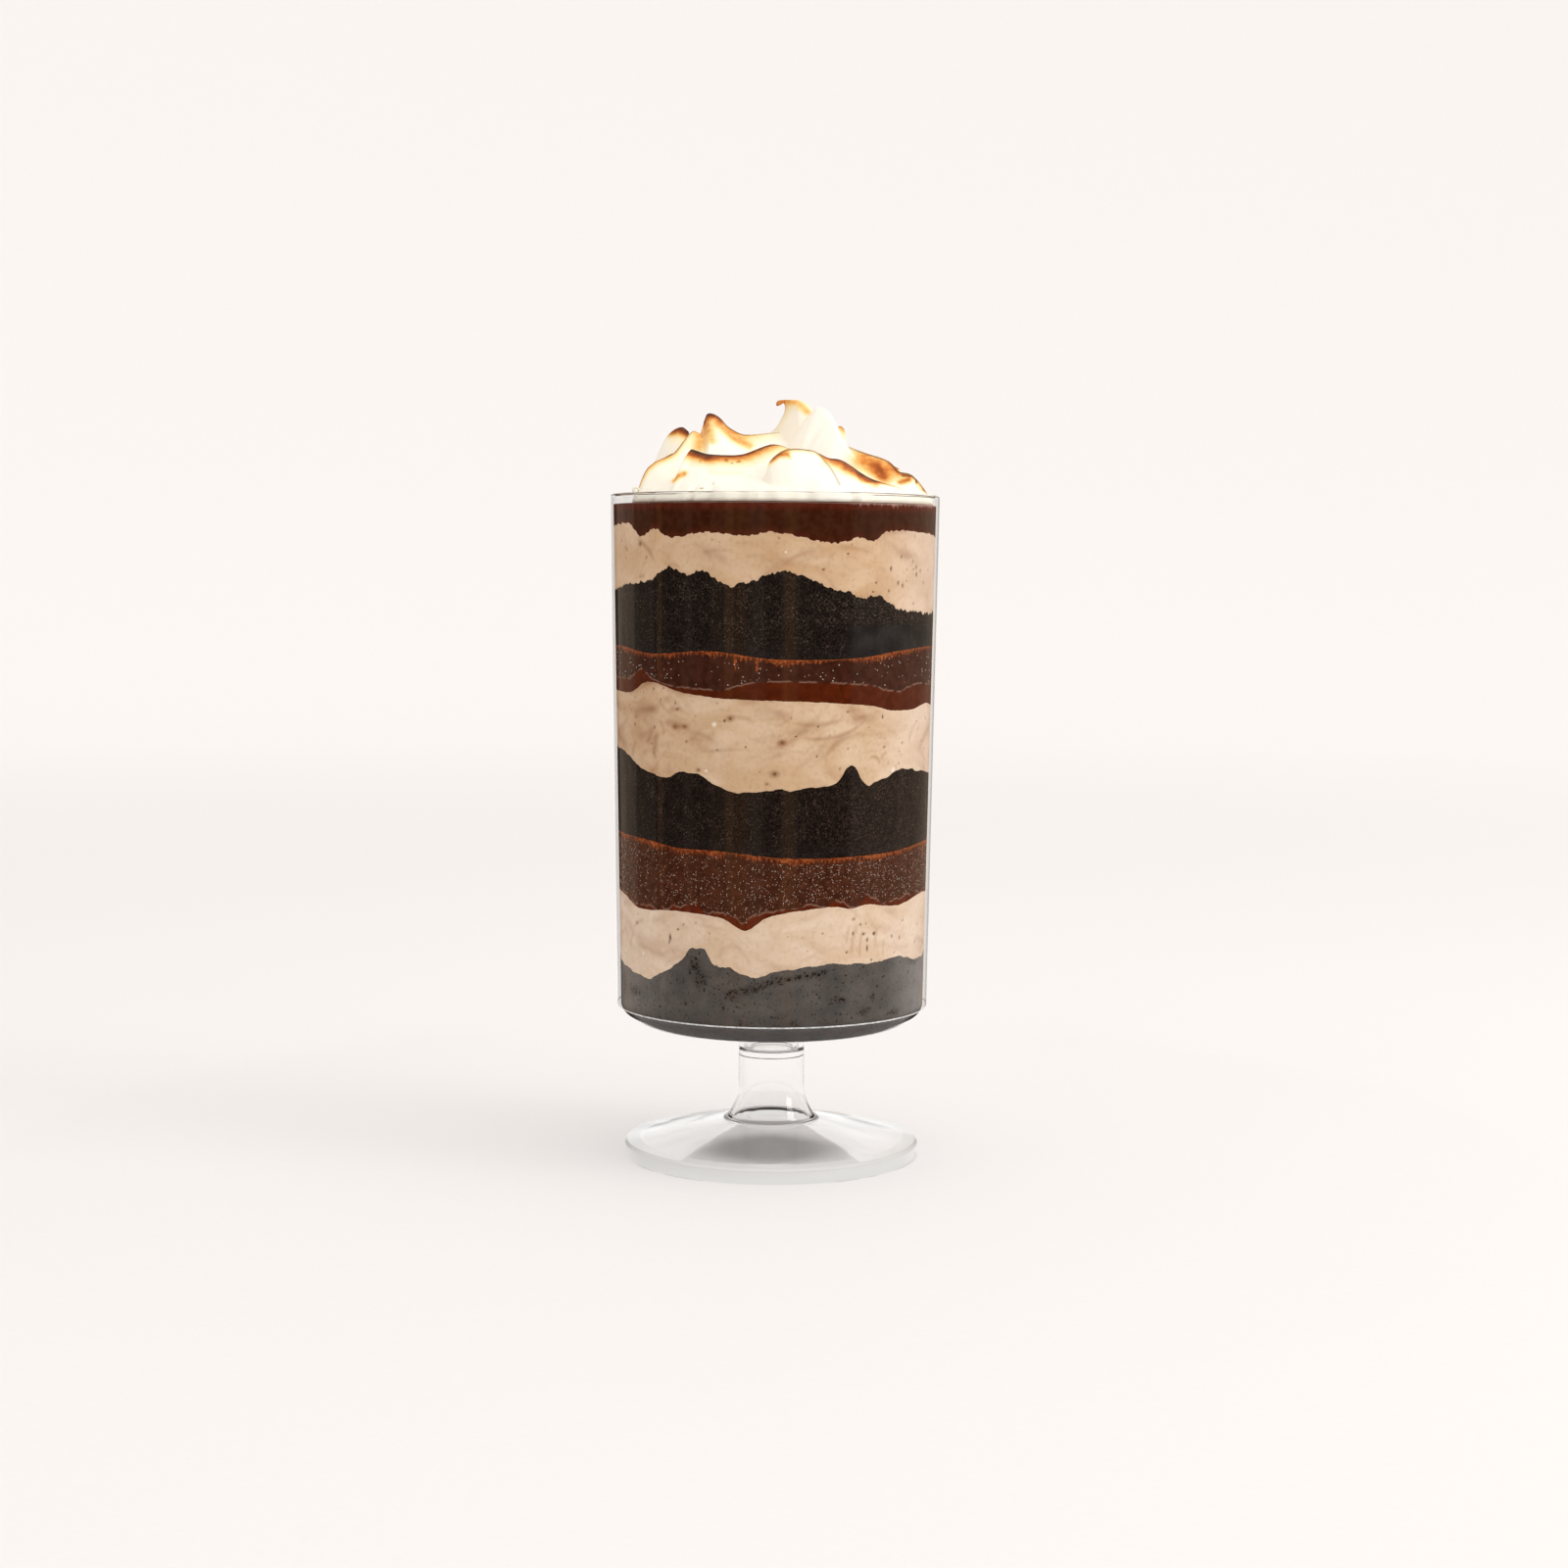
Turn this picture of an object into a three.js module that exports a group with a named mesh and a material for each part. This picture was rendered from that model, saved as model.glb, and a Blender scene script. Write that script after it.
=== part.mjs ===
// A chocolate trifle in a clear footed cup, made of the separate pieces that it is built up from.
// Millimetres, +Z up. The origin is on the table, at the centre of the foot's underside.
// An azimuth is in degrees from the front (-Y), growing towards the right (+X).
import * as THREE from "three";

// ---- driving dimensions ----------------------------------------------------------------

const SEAM = 0.3; // gap kept between two pieces that touch
const FACETS = 44; // sides of a turned piece
const CORNER_STEPS = 4; // straight steps in the section of a rounded corner
const TINY = 1e-6;

// The cup is a moulded plastic beaker that widens a little upwards, with a ring under its floor.
const CUP = {
  rimZ: 252.6,
  rimRadius: 62.5,
  rimRound: 0.4,
  rimWall: 1.6,
  wall: 2.0,
  baseZ: 51.6, // underside of the floor
  baseRadius: 59.5, // where the corner round meets the wall
  cornerRadius: 6.7,
  floor: 2.8,
  innerCornerRadius: 4.7,
  bossRadius: 12.6, // ring under the floor
  bossBore: 10.6,
};

// The pedestal is a hollow shell that is open below, and plugs into the ring under the cup.
const PEDESTAL = {
  topZ: 41.0,
  cap: 2.6, // thickness of the lid that closes the stem
  stemRadius: 12.6,
  stemBore: 10.8,
  spigotRadius: 10.3,
  spigotBore: 8.3,
  spigotHeight: 6.0,
  flareTopZ: 27.4,
  flareBaseZ: 14.5,
  flareRadius: 17.0, // where the flare meets the slope of the foot
  flareHollow: 2.2, // how fast the flare draws in
  flareSteps: 5,
  slopeRadius: 55.6, // where the slope meets the upright skirt
  skirtZ: 5.9,
  skirtDraft: 0.4, // by which the skirt leans in to its top
  skirtRound: 0.8,
  footRadius: 57.0,
  shell: 1.9,
};

const FILL = {
  floorZ: CUP.baseZ + CUP.floor + SEAM,
  topZ: 248.8, // the top pudding stands just under the rim
  steps: 120, // round each seam
  cornerRises: [0.4, 1.6, 4.2], // rings of the lowest layer above the floor, where the corner bends
  backFrom: 98, // azimuths between which a seam has no set line and only wanders
  backTo: 262,
  backHumps: 7,
};

// The seam on top of each layer, as [azimuth, level] at the humps and hollows of its front, joined by a
// smooth line. Round the back it wanders, by as much as wander, about its level at the two sides.
// crag is how far the crumb of a cake breaks it up.
const SEAMS = {
  cake_bottom: {
    crag: 0.5,
    wander: 4,
    line: [
      [-71, 75], [-51, 73], [-39.5, 78.3], [-34, 82], [-29, 86.9], [-24.5, 86.8], [-19.5, 80.9], [-13, 79],
      [-6, 76.6], [1, 79], [24, 81.4], [39, 80.5], [51, 81.8], [71, 78.6],
    ],
  },
  mousse_bottom: {
    crag: 0.1,
    wander: 2.5,
    line: [
      [-70, 102], [-58, 98.6], [-36, 99.6], [-18, 98], [-9.5, 93.9], [-1, 99], [22, 102.3], [30, 101.2],
      [35, 102.5], [52, 100.8], [72, 103.4],
    ],
  },
  pudding_bottom: {
    crag: 0,
    wander: 1.5,
    line: [[-72, 125.3], [-50, 124.6], [-37, 122.9], [-20, 122.6], [7, 120.3], [45, 120.9], [74, 122.8]],
  },
  cake_middle: {
    crag: 0.5,
    wander: 4,
    line: [
      [-66, 155.8], [-56, 151.4], [-39.5, 148.4], [-35, 150.5], [-27, 150.2], [-15, 144.5], [1, 145.4],
      [8, 144.8], [17, 146.7], [22.5, 147.2], [28.5, 153.8], [33.5, 148], [37, 146.4], [51, 151.2],
      [66, 150],
    ],
  },
  mousse_middle: {
    crag: 0.1,
    wander: 3,
    line: [
      [-71, 178.6], [-61, 179], [-50, 183.2], [-33, 179.8], [-18, 178.1], [14, 177], [36, 175.4],
      [46, 173.4], [60, 173.3], [72, 175],
    ],
  },
  pudding_middle: {
    crag: 0,
    wander: 1.6,
    line: [[-70, 195.8], [-48, 193.6], [-22, 195], [0, 192.4], [30, 192.7], [48, 194.9], [70, 196.2]],
  },
  cake_top: {
    crag: 0.6,
    wander: 4,
    line: [
      [-70, 218], [-48, 221], [-38, 225.2], [-31, 222.3], [-26.5, 224.5], [-16, 218.8], [-11, 219.3],
      [3.5, 223.8], [9, 222.7], [17, 218.8], [28, 216.4], [33, 214.2], [38, 215.2], [49, 210.9],
      [68, 208.7],
    ],
  },
  mousse_top: {
    crag: 0.15,
    wander: 2.2,
    line: [
      [-70, 241.2], [-61, 241], [-53.5, 236.2], [-46, 239.2], [-38.5, 236.1], [-23, 237.8], [-8, 236.6],
      [-1.5, 238], [22, 234.1], [30, 236.3], [36.5, 235], [42, 238.6], [68, 238.2],
    ],
  },
};

const MERINGUE = {
  baseZ: FILL.topZ + SEAM,
  facets: 88,
  rings: 30,
  ringBias: 1.1, // above 1 the rings lie closer together at the edge
  edgeRadius: 60.2, // out to the wall of the cup, but for a few bays
  bays: [[-72, 26, 6], [138, 14, 2.5], [200, 22, 3.5]], // [azimuth, half width, depth]
  rollWidth: 5, // over which the edge rolls down to the pudding
  domeHeight: 12, // of the heap under the strokes, above the rim
  thinnest: 0.5, // above the rim
  crease: 2.2, // softness of the valley where two strokes meet
  crestRound: 1.2, // softness of a crest
  crestBlend: 0.5, // how far round a crest's end its two sides run into each other
  crestSteps: 4, // straight steps between two points of a crest
  curlCore: 0.6, // share of a curl's width that bends in full
};

// What the back of a spoon leaves: a smooth crest through a few points, as [x, y, height above the rim].
// To its left and its right the surface falls by drop at a distance of reach, and faster beyond. A bend
// below 1 makes that side hollow, above 1 round. caps says how much steeper its two ends are.
const STROKES = [
  // petal at the front left, and a knob behind it
  {
    crest: [
      [-54, -22, 0], [-50.8, -21, 5.7], [-45, -19, 11.7], [-40.5, -17, 13.9], [-37.2, -15, 15.8],
      [-34, -11, 20.3], [-31, -8, 23.7], [-28.5, -6, 23],
    ],
    left: { drop: 20, reach: 9, bend: 0.9 },
    right: { drop: 15, reach: 14, bend: 0.7 },
    caps: [1, 2.2],
  },
  {
    crest: [
      [-47, 16, 12], [-43.8, 16, 19], [-41.5, 16, 23], [-38.7, 16, 25.5], [-35.8, 16, 26.3],
      [-33.6, 16, 24.8],
    ],
    left: { drop: 16, reach: 9, bend: 1.4 },
    right: { drop: 16, reach: 9, bend: 1.4 },
    caps: [2, 3.5],
  },
  // wave with a broad tip and a long tail to the right
  {
    crest: [
      [-26.6, 2, 28], [-25, 2, 30.6], [-22.8, 2, 30.8], [-20.3, 2.5, 29.2], [-17.8, 3, 26], [-13.5, 4, 23.5],
      [-9.8, 5, 23.1], [-3.3, 7, 23.8], [2.3, 9, 24.5],
    ],
    left: { drop: 20, reach: 10, bend: 1.2 },
    right: { drop: 15, reach: 20, bend: 0.85 },
    caps: [3, 1],
  },
  // long lip across the front, and the lobe that folds over its right end
  {
    crest: [
      [-30.5, -30, 16], [-28.2, -31, 15.2], [-24.5, -33, 14.1], [-17.3, -34, 13.7], [-13.7, -33, 13.9],
      [-10.2, -31, 14.7], [-3, -28, 17.6], [0.6, -26, 18], [6, -21, 16.5],
    ],
    left: { drop: 9, reach: 7, bend: 0.7 },
    right: { drop: 16, reach: 17, bend: 1.35 },
    caps: [5, 1.5],
  },
  {
    crest: [
      [-1.8, -46.5, 11], [0, -46, 13], [3.3, -45, 15.2], [6.9, -44, 15.8], [11.3, -42.5, 15.6],
      [14.9, -42, 14.8], [18.5, -42.5, 11.5], [22, -46, 5.5], [24, -49, 1],
    ],
    left: { drop: 10, reach: 8, bend: 0.9 },
    right: { drop: 15, reach: 12, bend: 1.4 },
    caps: [3, 1],
  },
  {
    crest: [
      [11, -40, 14.5], [15, -38, 14.7], [19.5, -36, 12.9], [23.6, -34, 12.4], [27.6, -32, 10.4],
      [32, -31, 7.5], [37, -30, 5], [45, -29, 2.5],
    ],
    left: { drop: 10, reach: 8, bend: 0.7 },
    right: { drop: 13, reach: 16, bend: 1.3 },
    caps: [1.5, 1],
  },
  // tall hook in the middle
  {
    crest: [
      [-2, 12, 24.2], [0.5, 12, 26.5], [2.7, 12, 30.5], [5, 12, 35.5], [8, 12, 41.5], [10, 12, 43.6],
      [11.6, 12.5, 41.2], [12.6, 13, 36], [13.2, 13, 31], [14, 14, 25],
    ],
    left: { drop: 24, reach: 9, bend: 1.3 },
    right: { drop: 20, reach: 10, bend: 1.3 },
    caps: [1.5, 1.5],
  },
  // plume that comes down from the top to the front right, and a knob behind it
  {
    crest: [
      [14, 7, 30], [15.2, 5, 32.7], [16.7, 4, 33.6], [19.9, 1, 31.8], [21.8, -2, 27.9], [24, -5, 23.2],
      [27.5, -8, 17.6], [30, -12, 13.8], [32.5, -16, 10], [35.5, -18, 6.3], [42, -22, 2],
    ],
    left: { drop: 16, reach: 8, bend: 1.3 },
    right: { drop: 12, reach: 10, bend: 1.3 },
    caps: [1.6, 1],
  },
  {
    crest: [[22.5, 14, 26.4], [24.9, 14, 27], [26, 14, 26.2]],
    left: { drop: 16, reach: 7, bend: 1.6 },
    right: { drop: 16, reach: 7, bend: 1.6 },
    caps: [1.5, 3],
  },
  // ridge that runs down to the right
  {
    crest: [
      [25, 5, 20], [31.2, 1, 17.4], [34.9, 0, 16], [38.6, -1, 14.9], [42.3, -2, 13.5], [44.4, -3, 11.9],
      [46.9, -4, 9.2], [50.5, -5, 8.4], [53.3, -5, 6.4], [59, -6, 0],
    ],
    left: { drop: 12, reach: 9, bend: 0.9 },
    right: { drop: 10, reach: 11, bend: 1.4 },
    caps: [1, 1],
  },
  // waves over the back
  {
    crest: [[-46, 30, 3], [-38, 34, 9], [-28, 36, 14], [-18, 34, 18], [-12, 30, 19]],
    left: { drop: 16, reach: 15, bend: 1.5 },
    right: { drop: 12, reach: 10, bend: 0.8 },
    caps: [1, 1],
  },
  {
    crest: [[-14, 48, 4], [-4, 46, 9], [6, 43, 14], [16, 37, 18], [24, 29, 20]],
    left: { drop: 15, reach: 13, bend: 1.6 },
    right: { drop: 11, reach: 9, bend: 0.8 },
    caps: [1, 1],
  },
  {
    crest: [[28, 42, 5], [36, 34, 10], [43, 22, 13], [47, 10, 11]],
    left: { drop: 9, reach: 9, bend: 0.8 },
    right: { drop: 13, reach: 14, bend: 1.5 },
    caps: [1, 1],
  },
];

// Tips that curl over: above level the peak round [x, y] bends towards [dx, dy], by turn degrees at its top.
const CURLS = [
  { at: [8, 12], width: 15, level: 29, top: 43.4, towards: [-1, -0.1], turn: 104 },
  { at: [-23, 2], width: 9, level: 22, top: 31, towards: [-1, -0.3], turn: 14 },
  { at: [-13, 31], width: 10, level: 10, top: 19, towards: [1, 0.5], turn: 60 },
  { at: [23, 30], width: 10, level: 11, top: 20, towards: [0.4, -1], turn: 60 },
];

// ---- shapes ----------------------------------------------------------------------------

const radians = THREE.MathUtils.degToRad;
const clamp = THREE.MathUtils.clamp;
const smoothstep = THREE.MathUtils.smoothstep;

// A repeatable random number from -1 to 1 for each whole number.
function randomAt(n) {
  const wave = Math.sin(n * 127.1 + 311.7) * 43758.5453;
  return 2 * (wave - Math.floor(wave)) - 1;
}

function pointAt(azimuth, radius, z) {
  return [radius * Math.sin(radians(azimuth)), -radius * Math.cos(radians(azimuth)), z];
}

// Points on a circle round [r, z] in a profile, from angle to angle in degrees.
function arc(r, z, radius, from, to, steps) {
  const points = [];
  for (let i = 0; i <= steps; i += 1) {
    const angle = radians(from + ((to - from) * i) / steps);
    points.push([r + radius * Math.cos(angle), z + radius * Math.sin(angle)]);
  }
  return points;
}

// A turned piece from a profile of [radius, level] that starts and ends on the axis.
function turned(profile) {
  const points = profile.map(([r, z]) => new THREE.Vector2(r, z));
  return new THREE.LatheGeometry(points, FACETS).rotateX(Math.PI / 2);
}

function solid(positions, triangles) {
  const geometry = new THREE.BufferGeometry();
  geometry.setAttribute("position", new THREE.Float32BufferAttribute(positions.flat(), 3));
  geometry.setIndex(triangles.flat());
  geometry.computeVertexNormals();
  return geometry;
}

// Triangles between two rings of vertices that start at lower and upper and go round to the right.
function band(lower, upper, count) {
  const triangles = [];
  for (let i = 0; i < count; i += 1) {
    const next = (i + 1) % count;
    triangles.push([lower + i, lower + next, upper + next]);
    triangles.push([lower + i, upper + next, upper + i]);
  }
  return triangles;
}

// Triangles from a ring to its centre, facing up or down.
function fan(ring, centre, count, up) {
  const triangles = [];
  for (let i = 0; i < count; i += 1) {
    const next = (i + 1) % count;
    triangles.push(up ? [ring + i, ring + next, centre] : [ring + next, ring + i, centre]);
  }
  return triangles;
}

// ---- cup and pedestal ------------------------------------------------------------------

// Inside radius of the cup at a level: the drafted wall, then the round into the floor.
function cupRadius(z) {
  const rise = (z - CUP.baseZ) / (CUP.rimZ - CUP.baseZ);
  const thickness = CUP.wall + (CUP.rimWall - CUP.wall) * rise;
  const wall = CUP.baseRadius + (CUP.rimRadius - CUP.baseRadius) * rise - thickness;
  const above = clamp((z - CUP.baseZ - CUP.floor) / CUP.innerCornerRadius, 0, 1);
  return wall - CUP.innerCornerRadius * (1 - Math.sqrt(1 - (1 - above) ** 2));
}

function cupGeometry() {
  const { baseZ, rimZ, cornerRadius, innerCornerRadius, rimRound, rimRadius } = CUP;
  const floorZ = baseZ + CUP.floor;
  const innerCorner = [];
  for (let i = 0; i <= CORNER_STEPS; i += 1) {
    const z = floorZ + innerCornerRadius * (1 - Math.sin(radians((90 * i) / CORNER_STEPS)));
    innerCorner.push([cupRadius(z), z]);
  }
  return turned([
    [0, baseZ],
    [CUP.bossBore, baseZ],
    [CUP.bossBore, PEDESTAL.topZ + SEAM],
    [CUP.bossRadius, PEDESTAL.topZ + SEAM],
    [CUP.bossRadius, baseZ],
    ...arc(CUP.baseRadius - cornerRadius, baseZ + cornerRadius, cornerRadius, -90, 0, CORNER_STEPS),
    [rimRadius, rimZ - rimRound],
    [rimRadius - rimRound, rimZ],
    [rimRadius - CUP.rimWall + rimRound, rimZ],
    [rimRadius - CUP.rimWall, rimZ - rimRound],
    ...innerCorner,
    [0, floorZ],
  ]);
}

function pedestalGeometry() {
  const { topZ, cap, shell, stemRadius, stemBore, spigotRadius, spigotBore, spigotHeight } = PEDESTAL;
  const { flareTopZ, flareBaseZ, flareRadius, flareHollow, flareSteps } = PEDESTAL;
  const { slopeRadius, footRadius, skirtZ, skirtDraft, skirtRound } = PEDESTAL;
  const outerFlare = [];
  const innerFlare = [];
  for (let i = 0; i <= flareSteps; i += 1) {
    const rise = i / flareSteps;
    const drawnIn = (1 - rise) ** flareHollow;
    const z = flareBaseZ + (flareTopZ - flareBaseZ) * rise;
    outerFlare.push([stemRadius + (flareRadius - stemRadius) * drawnIn, z]);
    innerFlare.unshift([stemBore + (flareRadius - shell / 2 - stemBore) * drawnIn, z - shell * drawnIn]);
  }
  return turned([
    [0, topZ - cap],
    [stemBore, topZ - cap],
    ...innerFlare,
    [slopeRadius - shell / 2, skirtZ - shell],
    [footRadius - shell, 0],
    [footRadius, 0],
    [footRadius - skirtDraft, skirtZ - skirtRound],
    [slopeRadius, skirtZ],
    ...outerFlare,
    [stemRadius, topZ],
    [spigotRadius, topZ],
    [spigotRadius, topZ + spigotHeight],
    [spigotBore, topZ + spigotHeight],
    [spigotBore, topZ],
    [0, topZ],
  ]);
}

// ---- layers ----------------------------------------------------------------------------

// The whole closed line of a seam: its front, then a few seeded humps round the back.
function seamLine(seam, seed) {
  const { backFrom, backTo, backHumps } = FILL;
  const first = seam.line[0][1];
  const last = seam.line[seam.line.length - 1][1];
  const back = [];
  for (let i = 0; i < backHumps; i += 1) {
    const share = i / (backHumps - 1);
    const level = last + (first - last) * share + seam.wander * randomAt(seed * backHumps + i);
    back.push([backFrom + (backTo - backFrom) * share, level]);
  }
  return [...seam.line, ...back];
}

// Level of a closed line at an azimuth: a cubic between each two points, level with its neighbours' slope.
function levelAt(line, azimuth) {
  const count = line.length;
  const turn = (index) => Math.floor(index / count);
  const at = (index) => line[index - turn(index) * count][0] + 360 * turn(index);
  const level = (index) => line[index - turn(index) * count][1];
  const wrapped = azimuth < line[0][0] ? azimuth + 360 : azimuth;
  let i = 0;
  while (at(i + 1) <= wrapped) {
    i += 1;
  }
  const slope = (index) => (level(index + 1) - level(index - 1)) / (at(index + 1) - at(index - 1));
  const span = at(i + 1) - at(i);
  const t = (wrapped - at(i)) / span;
  const ease = t * t * (3 - 2 * t);
  const leaving = slope(i) * span * t * (1 - t) ** 2;
  const arriving = slope(i + 1) * span * t * t * (1 - t);
  return level(i) + (level(i + 1) - level(i)) * ease + leaving - arriving;
}

// Levels all round a seam, in FILL.steps equal steps.
function seamLevels(seam, seed) {
  const line = seamLine(seam, seed);
  return Array.from({ length: FILL.steps }, (_, i) => {
    const azimuth = (360 * i) / FILL.steps - 90;
    return levelAt(line, azimuth) + seam.crag * randomAt(seed * FILL.steps + i);
  });
}

// A ring of vertices against the inside of the cup.
function wallRing(levels) {
  return levels.map((z, i) => pointAt((360 * i) / FILL.steps - 90, cupRadius(z) - SEAM, z));
}

function mean(values) {
  return values.reduce((sum, value) => sum + value, 0) / values.length;
}

// A layer fills the cup from its lower levels to its upper ones, with further rings at the levels between.
function layerGeometry(lower, upper, between) {
  const steps = FILL.steps;
  const rings = [lower, ...between.map((z) => Array(steps).fill(z)), upper];
  const positions = rings.flatMap(wallRing);
  positions.push([0, 0, mean(lower)], [0, 0, mean(upper)]);
  const last = (rings.length - 1) * steps;
  const underside = fan(0, positions.length - 2, steps, false);
  const topside = fan(last, positions.length - 1, steps, true);
  const triangles = [...underside, ...topside];
  for (let ring = 0; ring < last; ring += steps) {
    triangles.push(...band(ring, ring + steps, steps));
  }
  return solid(positions, triangles);
}

// ---- meringue --------------------------------------------------------------------------

function meringueEdge(azimuth) {
  let radius = MERINGUE.edgeRadius;
  for (const [at, halfWidth, depth] of MERINGUE.bays) {
    const away = Math.abs(((azimuth - at + 540) % 360) - 180);
    radius -= depth * (1 - smoothstep(away, 0, halfWidth));
  }
  return radius;
}

// The crest of each stroke as short straight steps.
const crestPaths = STROKES.map(({ crest }) => {
  const points = crest.map((point) => new THREE.Vector3(...point));
  const line = new THREE.CatmullRomCurve3(points, false, "catmullrom");
  return line.getPoints(MERINGUE.crestSteps * (crest.length - 1));
});

// How far the surface has fallen at a distance from the crest.
function fall({ drop, reach, bend }, distance) {
  const round = MERINGUE.crestRound;
  const share = (Math.hypot(distance, round) - round) / reach;
  return drop * (share ** bend + Math.max(share - 1, 0) ** 2);
}

// Height of one stroke over [x, y]: that of the nearest place on its crest, less the fall on this side.
function strokeHeight({ left, right, caps }, path, x, y) {
  const { crestBlend } = MERINGUE;
  let nearest = Infinity;
  let height = -Infinity;
  for (let i = 0; i + 1 < path.length; i += 1) {
    const start = path[i];
    const step = path[i + 1].clone().sub(start);
    const length = Math.hypot(step.x, step.y);
    const along = ((x - start.x) * step.x + (y - start.y) * step.y) / length;
    const aside = ((y - start.y) * step.x - (x - start.x) * step.y) / length;
    const share = clamp(along / length, 0, 1);
    const beyond = along - share * length;
    const distance = Math.hypot(beyond, aside);
    if (distance < nearest) {
      nearest = distance;
      const atEnd = (i === 0 && beyond < 0) || (i === path.length - 2 && beyond > 0);
      const steep = atEnd ? caps[i === 0 ? 0 : 1] : 1;
      const away = Math.hypot(beyond * steep, aside);
      const toLeft = smoothstep(aside / Math.max(distance, TINY), -crestBlend, crestBlend);
      const fallen = fall(left, away) * toLeft + fall(right, away) * (1 - toLeft);
      height = start.z + step.z * share - fallen;
    }
  }
  return height;
}

// The higher of two heights, with a rounded valley where they are alike.
function softMax(a, b) {
  const near = Math.max(MERINGUE.crease - Math.abs(a - b), 0);
  return Math.max(a, b) + near ** 2 / (4 * MERINGUE.crease);
}

// Height of the meringue above the rim.
function meringueHeight(x, y) {
  const dome = MERINGUE.domeHeight * (1 - (Math.hypot(x, y) / MERINGUE.edgeRadius) ** 2);
  const heights = STROKES.map((stroke, i) => strokeHeight(stroke, crestPaths[i], x, y));
  return heights.reduce(softMax, dome);
}

// Bends the peaks over, each on a circle that starts upright at the foot of its curl.
function curled([x, y, height]) {
  let point = [x, y, height];
  for (const { at, width, level, top, towards, turn } of CURLS) {
    const near = 1 - smoothstep(Math.hypot(x - at[0], y - at[1]), width * MERINGUE.curlCore, width);
    const above = clamp((height - level) / (top - level), 0, 1);
    if (near > 0 && above > 0) {
      const angle = radians(turn) * near;
      const radius = (top - level) / angle;
      const lean = radius * (1 - Math.cos(angle * above));
      const rise = level + radius * Math.sin(angle * above);
      const reach = Math.hypot(...towards);
      point = [x + (lean * towards[0]) / reach, y + (lean * towards[1]) / reach, rise];
    }
  }
  return point;
}

function meringueGeometry() {
  const { facets, rings, ringBias, baseZ, rollWidth, thinnest } = MERINGUE;
  const pudding = baseZ - CUP.rimZ;
  const positions = [];
  for (let ring = 0; ring < rings; ring += 1) {
    for (let i = 0; i < facets; i += 1) {
      const azimuth = (360 * i) / facets;
      const edge = meringueEdge(azimuth);
      const radius = edge * (1 - (ring / rings) ** ringBias);
      const [x, y] = pointAt(azimuth, radius, 0);
      const roll = clamp((edge - radius) / rollWidth, 0, 1);
      const full = Math.max(meringueHeight(x, y), thinnest) - pudding;
      const height = pudding + full * Math.sqrt(1 - (1 - roll) ** 2);
      const [px, py, pz] = curled([x, y, height]);
      positions.push([px, py, CUP.rimZ + pz]);
    }
  }
  positions.push([0, 0, CUP.rimZ + meringueHeight(0, 0)], [0, 0, baseZ]);
  const top = positions.length - 2;
  const triangles = [...fan((rings - 1) * facets, top, facets, true), ...fan(0, top + 1, facets, false)];
  for (let ring = 0; ring + 1 < rings; ring += 1) {
    triangles.push(...band(ring * facets, (ring + 1) * facets, facets));
  }
  return solid(positions, triangles);
}

// ---- the object ------------------------------------------------------------------------

const CLEAR = { color: "#eef1f2", roughness: 0.06, metalness: 0, transparent: true, opacity: 0.35 };
const CAKE = { color: "#2a1f1e", roughness: 0.9, metalness: 0 };
const MOUSSE = { color: "#c9a78f", roughness: 0.7, metalness: 0 };
const PUDDING = { color: "#4f251a", roughness: 0.35, metalness: 0 };
const TOASTED = { color: "#f6ead8", roughness: 0.6, metalness: 0 };

const trifle = new THREE.Group();

function addPiece(name, geometry, look) {
  const mesh = new THREE.Mesh(geometry, new THREE.MeshStandardMaterial(look));
  mesh.name = name;
  trifle.add(mesh);
}

const LAYERS = [
  ["cake_bottom", CAKE],
  ["mousse_bottom", MOUSSE],
  ["pudding_bottom", PUDDING],
  ["cake_middle", CAKE],
  ["mousse_middle", MOUSSE],
  ["pudding_middle", PUDDING],
  ["cake_top", CAKE],
  ["mousse_top", MOUSSE],
  ["pudding_top", PUDDING],
];

let lower = Array(FILL.steps).fill(FILL.floorZ);
LAYERS.forEach(([name, look], index) => {
  const seam = SEAMS[name];
  const upper = seam ? seamLevels(seam, index + 1) : Array(FILL.steps).fill(FILL.topZ);
  const cornerLevels = FILL.cornerRises.map((rise) => FILL.floorZ + rise);
  addPiece(name, layerGeometry(lower, upper, index === 0 ? cornerLevels : []), look);
  lower = upper.map((z) => z + SEAM);
});

addPiece("meringue", meringueGeometry(), TOASTED);
addPiece("cup", cupGeometry(), CLEAR);
addPiece("pedestal", pedestalGeometry(), CLEAR);

export default trifle;
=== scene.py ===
import math
import bpy
import numpy as np
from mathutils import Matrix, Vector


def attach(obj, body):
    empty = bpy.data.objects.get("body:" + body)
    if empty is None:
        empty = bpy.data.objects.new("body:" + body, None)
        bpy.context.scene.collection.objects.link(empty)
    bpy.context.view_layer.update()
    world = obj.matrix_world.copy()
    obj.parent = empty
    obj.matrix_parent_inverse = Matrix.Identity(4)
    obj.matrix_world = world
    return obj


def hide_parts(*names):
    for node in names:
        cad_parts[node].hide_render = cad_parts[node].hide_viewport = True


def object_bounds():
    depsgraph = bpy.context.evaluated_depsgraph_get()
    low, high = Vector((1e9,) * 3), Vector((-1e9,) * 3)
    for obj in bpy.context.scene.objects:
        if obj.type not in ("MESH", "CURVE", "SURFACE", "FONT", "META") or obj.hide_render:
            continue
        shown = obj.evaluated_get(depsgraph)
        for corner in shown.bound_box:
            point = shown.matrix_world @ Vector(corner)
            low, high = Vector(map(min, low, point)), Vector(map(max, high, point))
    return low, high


# A chocolate trifle in a clear footed cup. Shapes are worked out in millimetres and put in their meshes in
# metres; the layers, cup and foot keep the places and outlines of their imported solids. An azimuth is the
# angle round the axis from the front (-Y) towards the right (+X), and a level is a height above the table.

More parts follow.
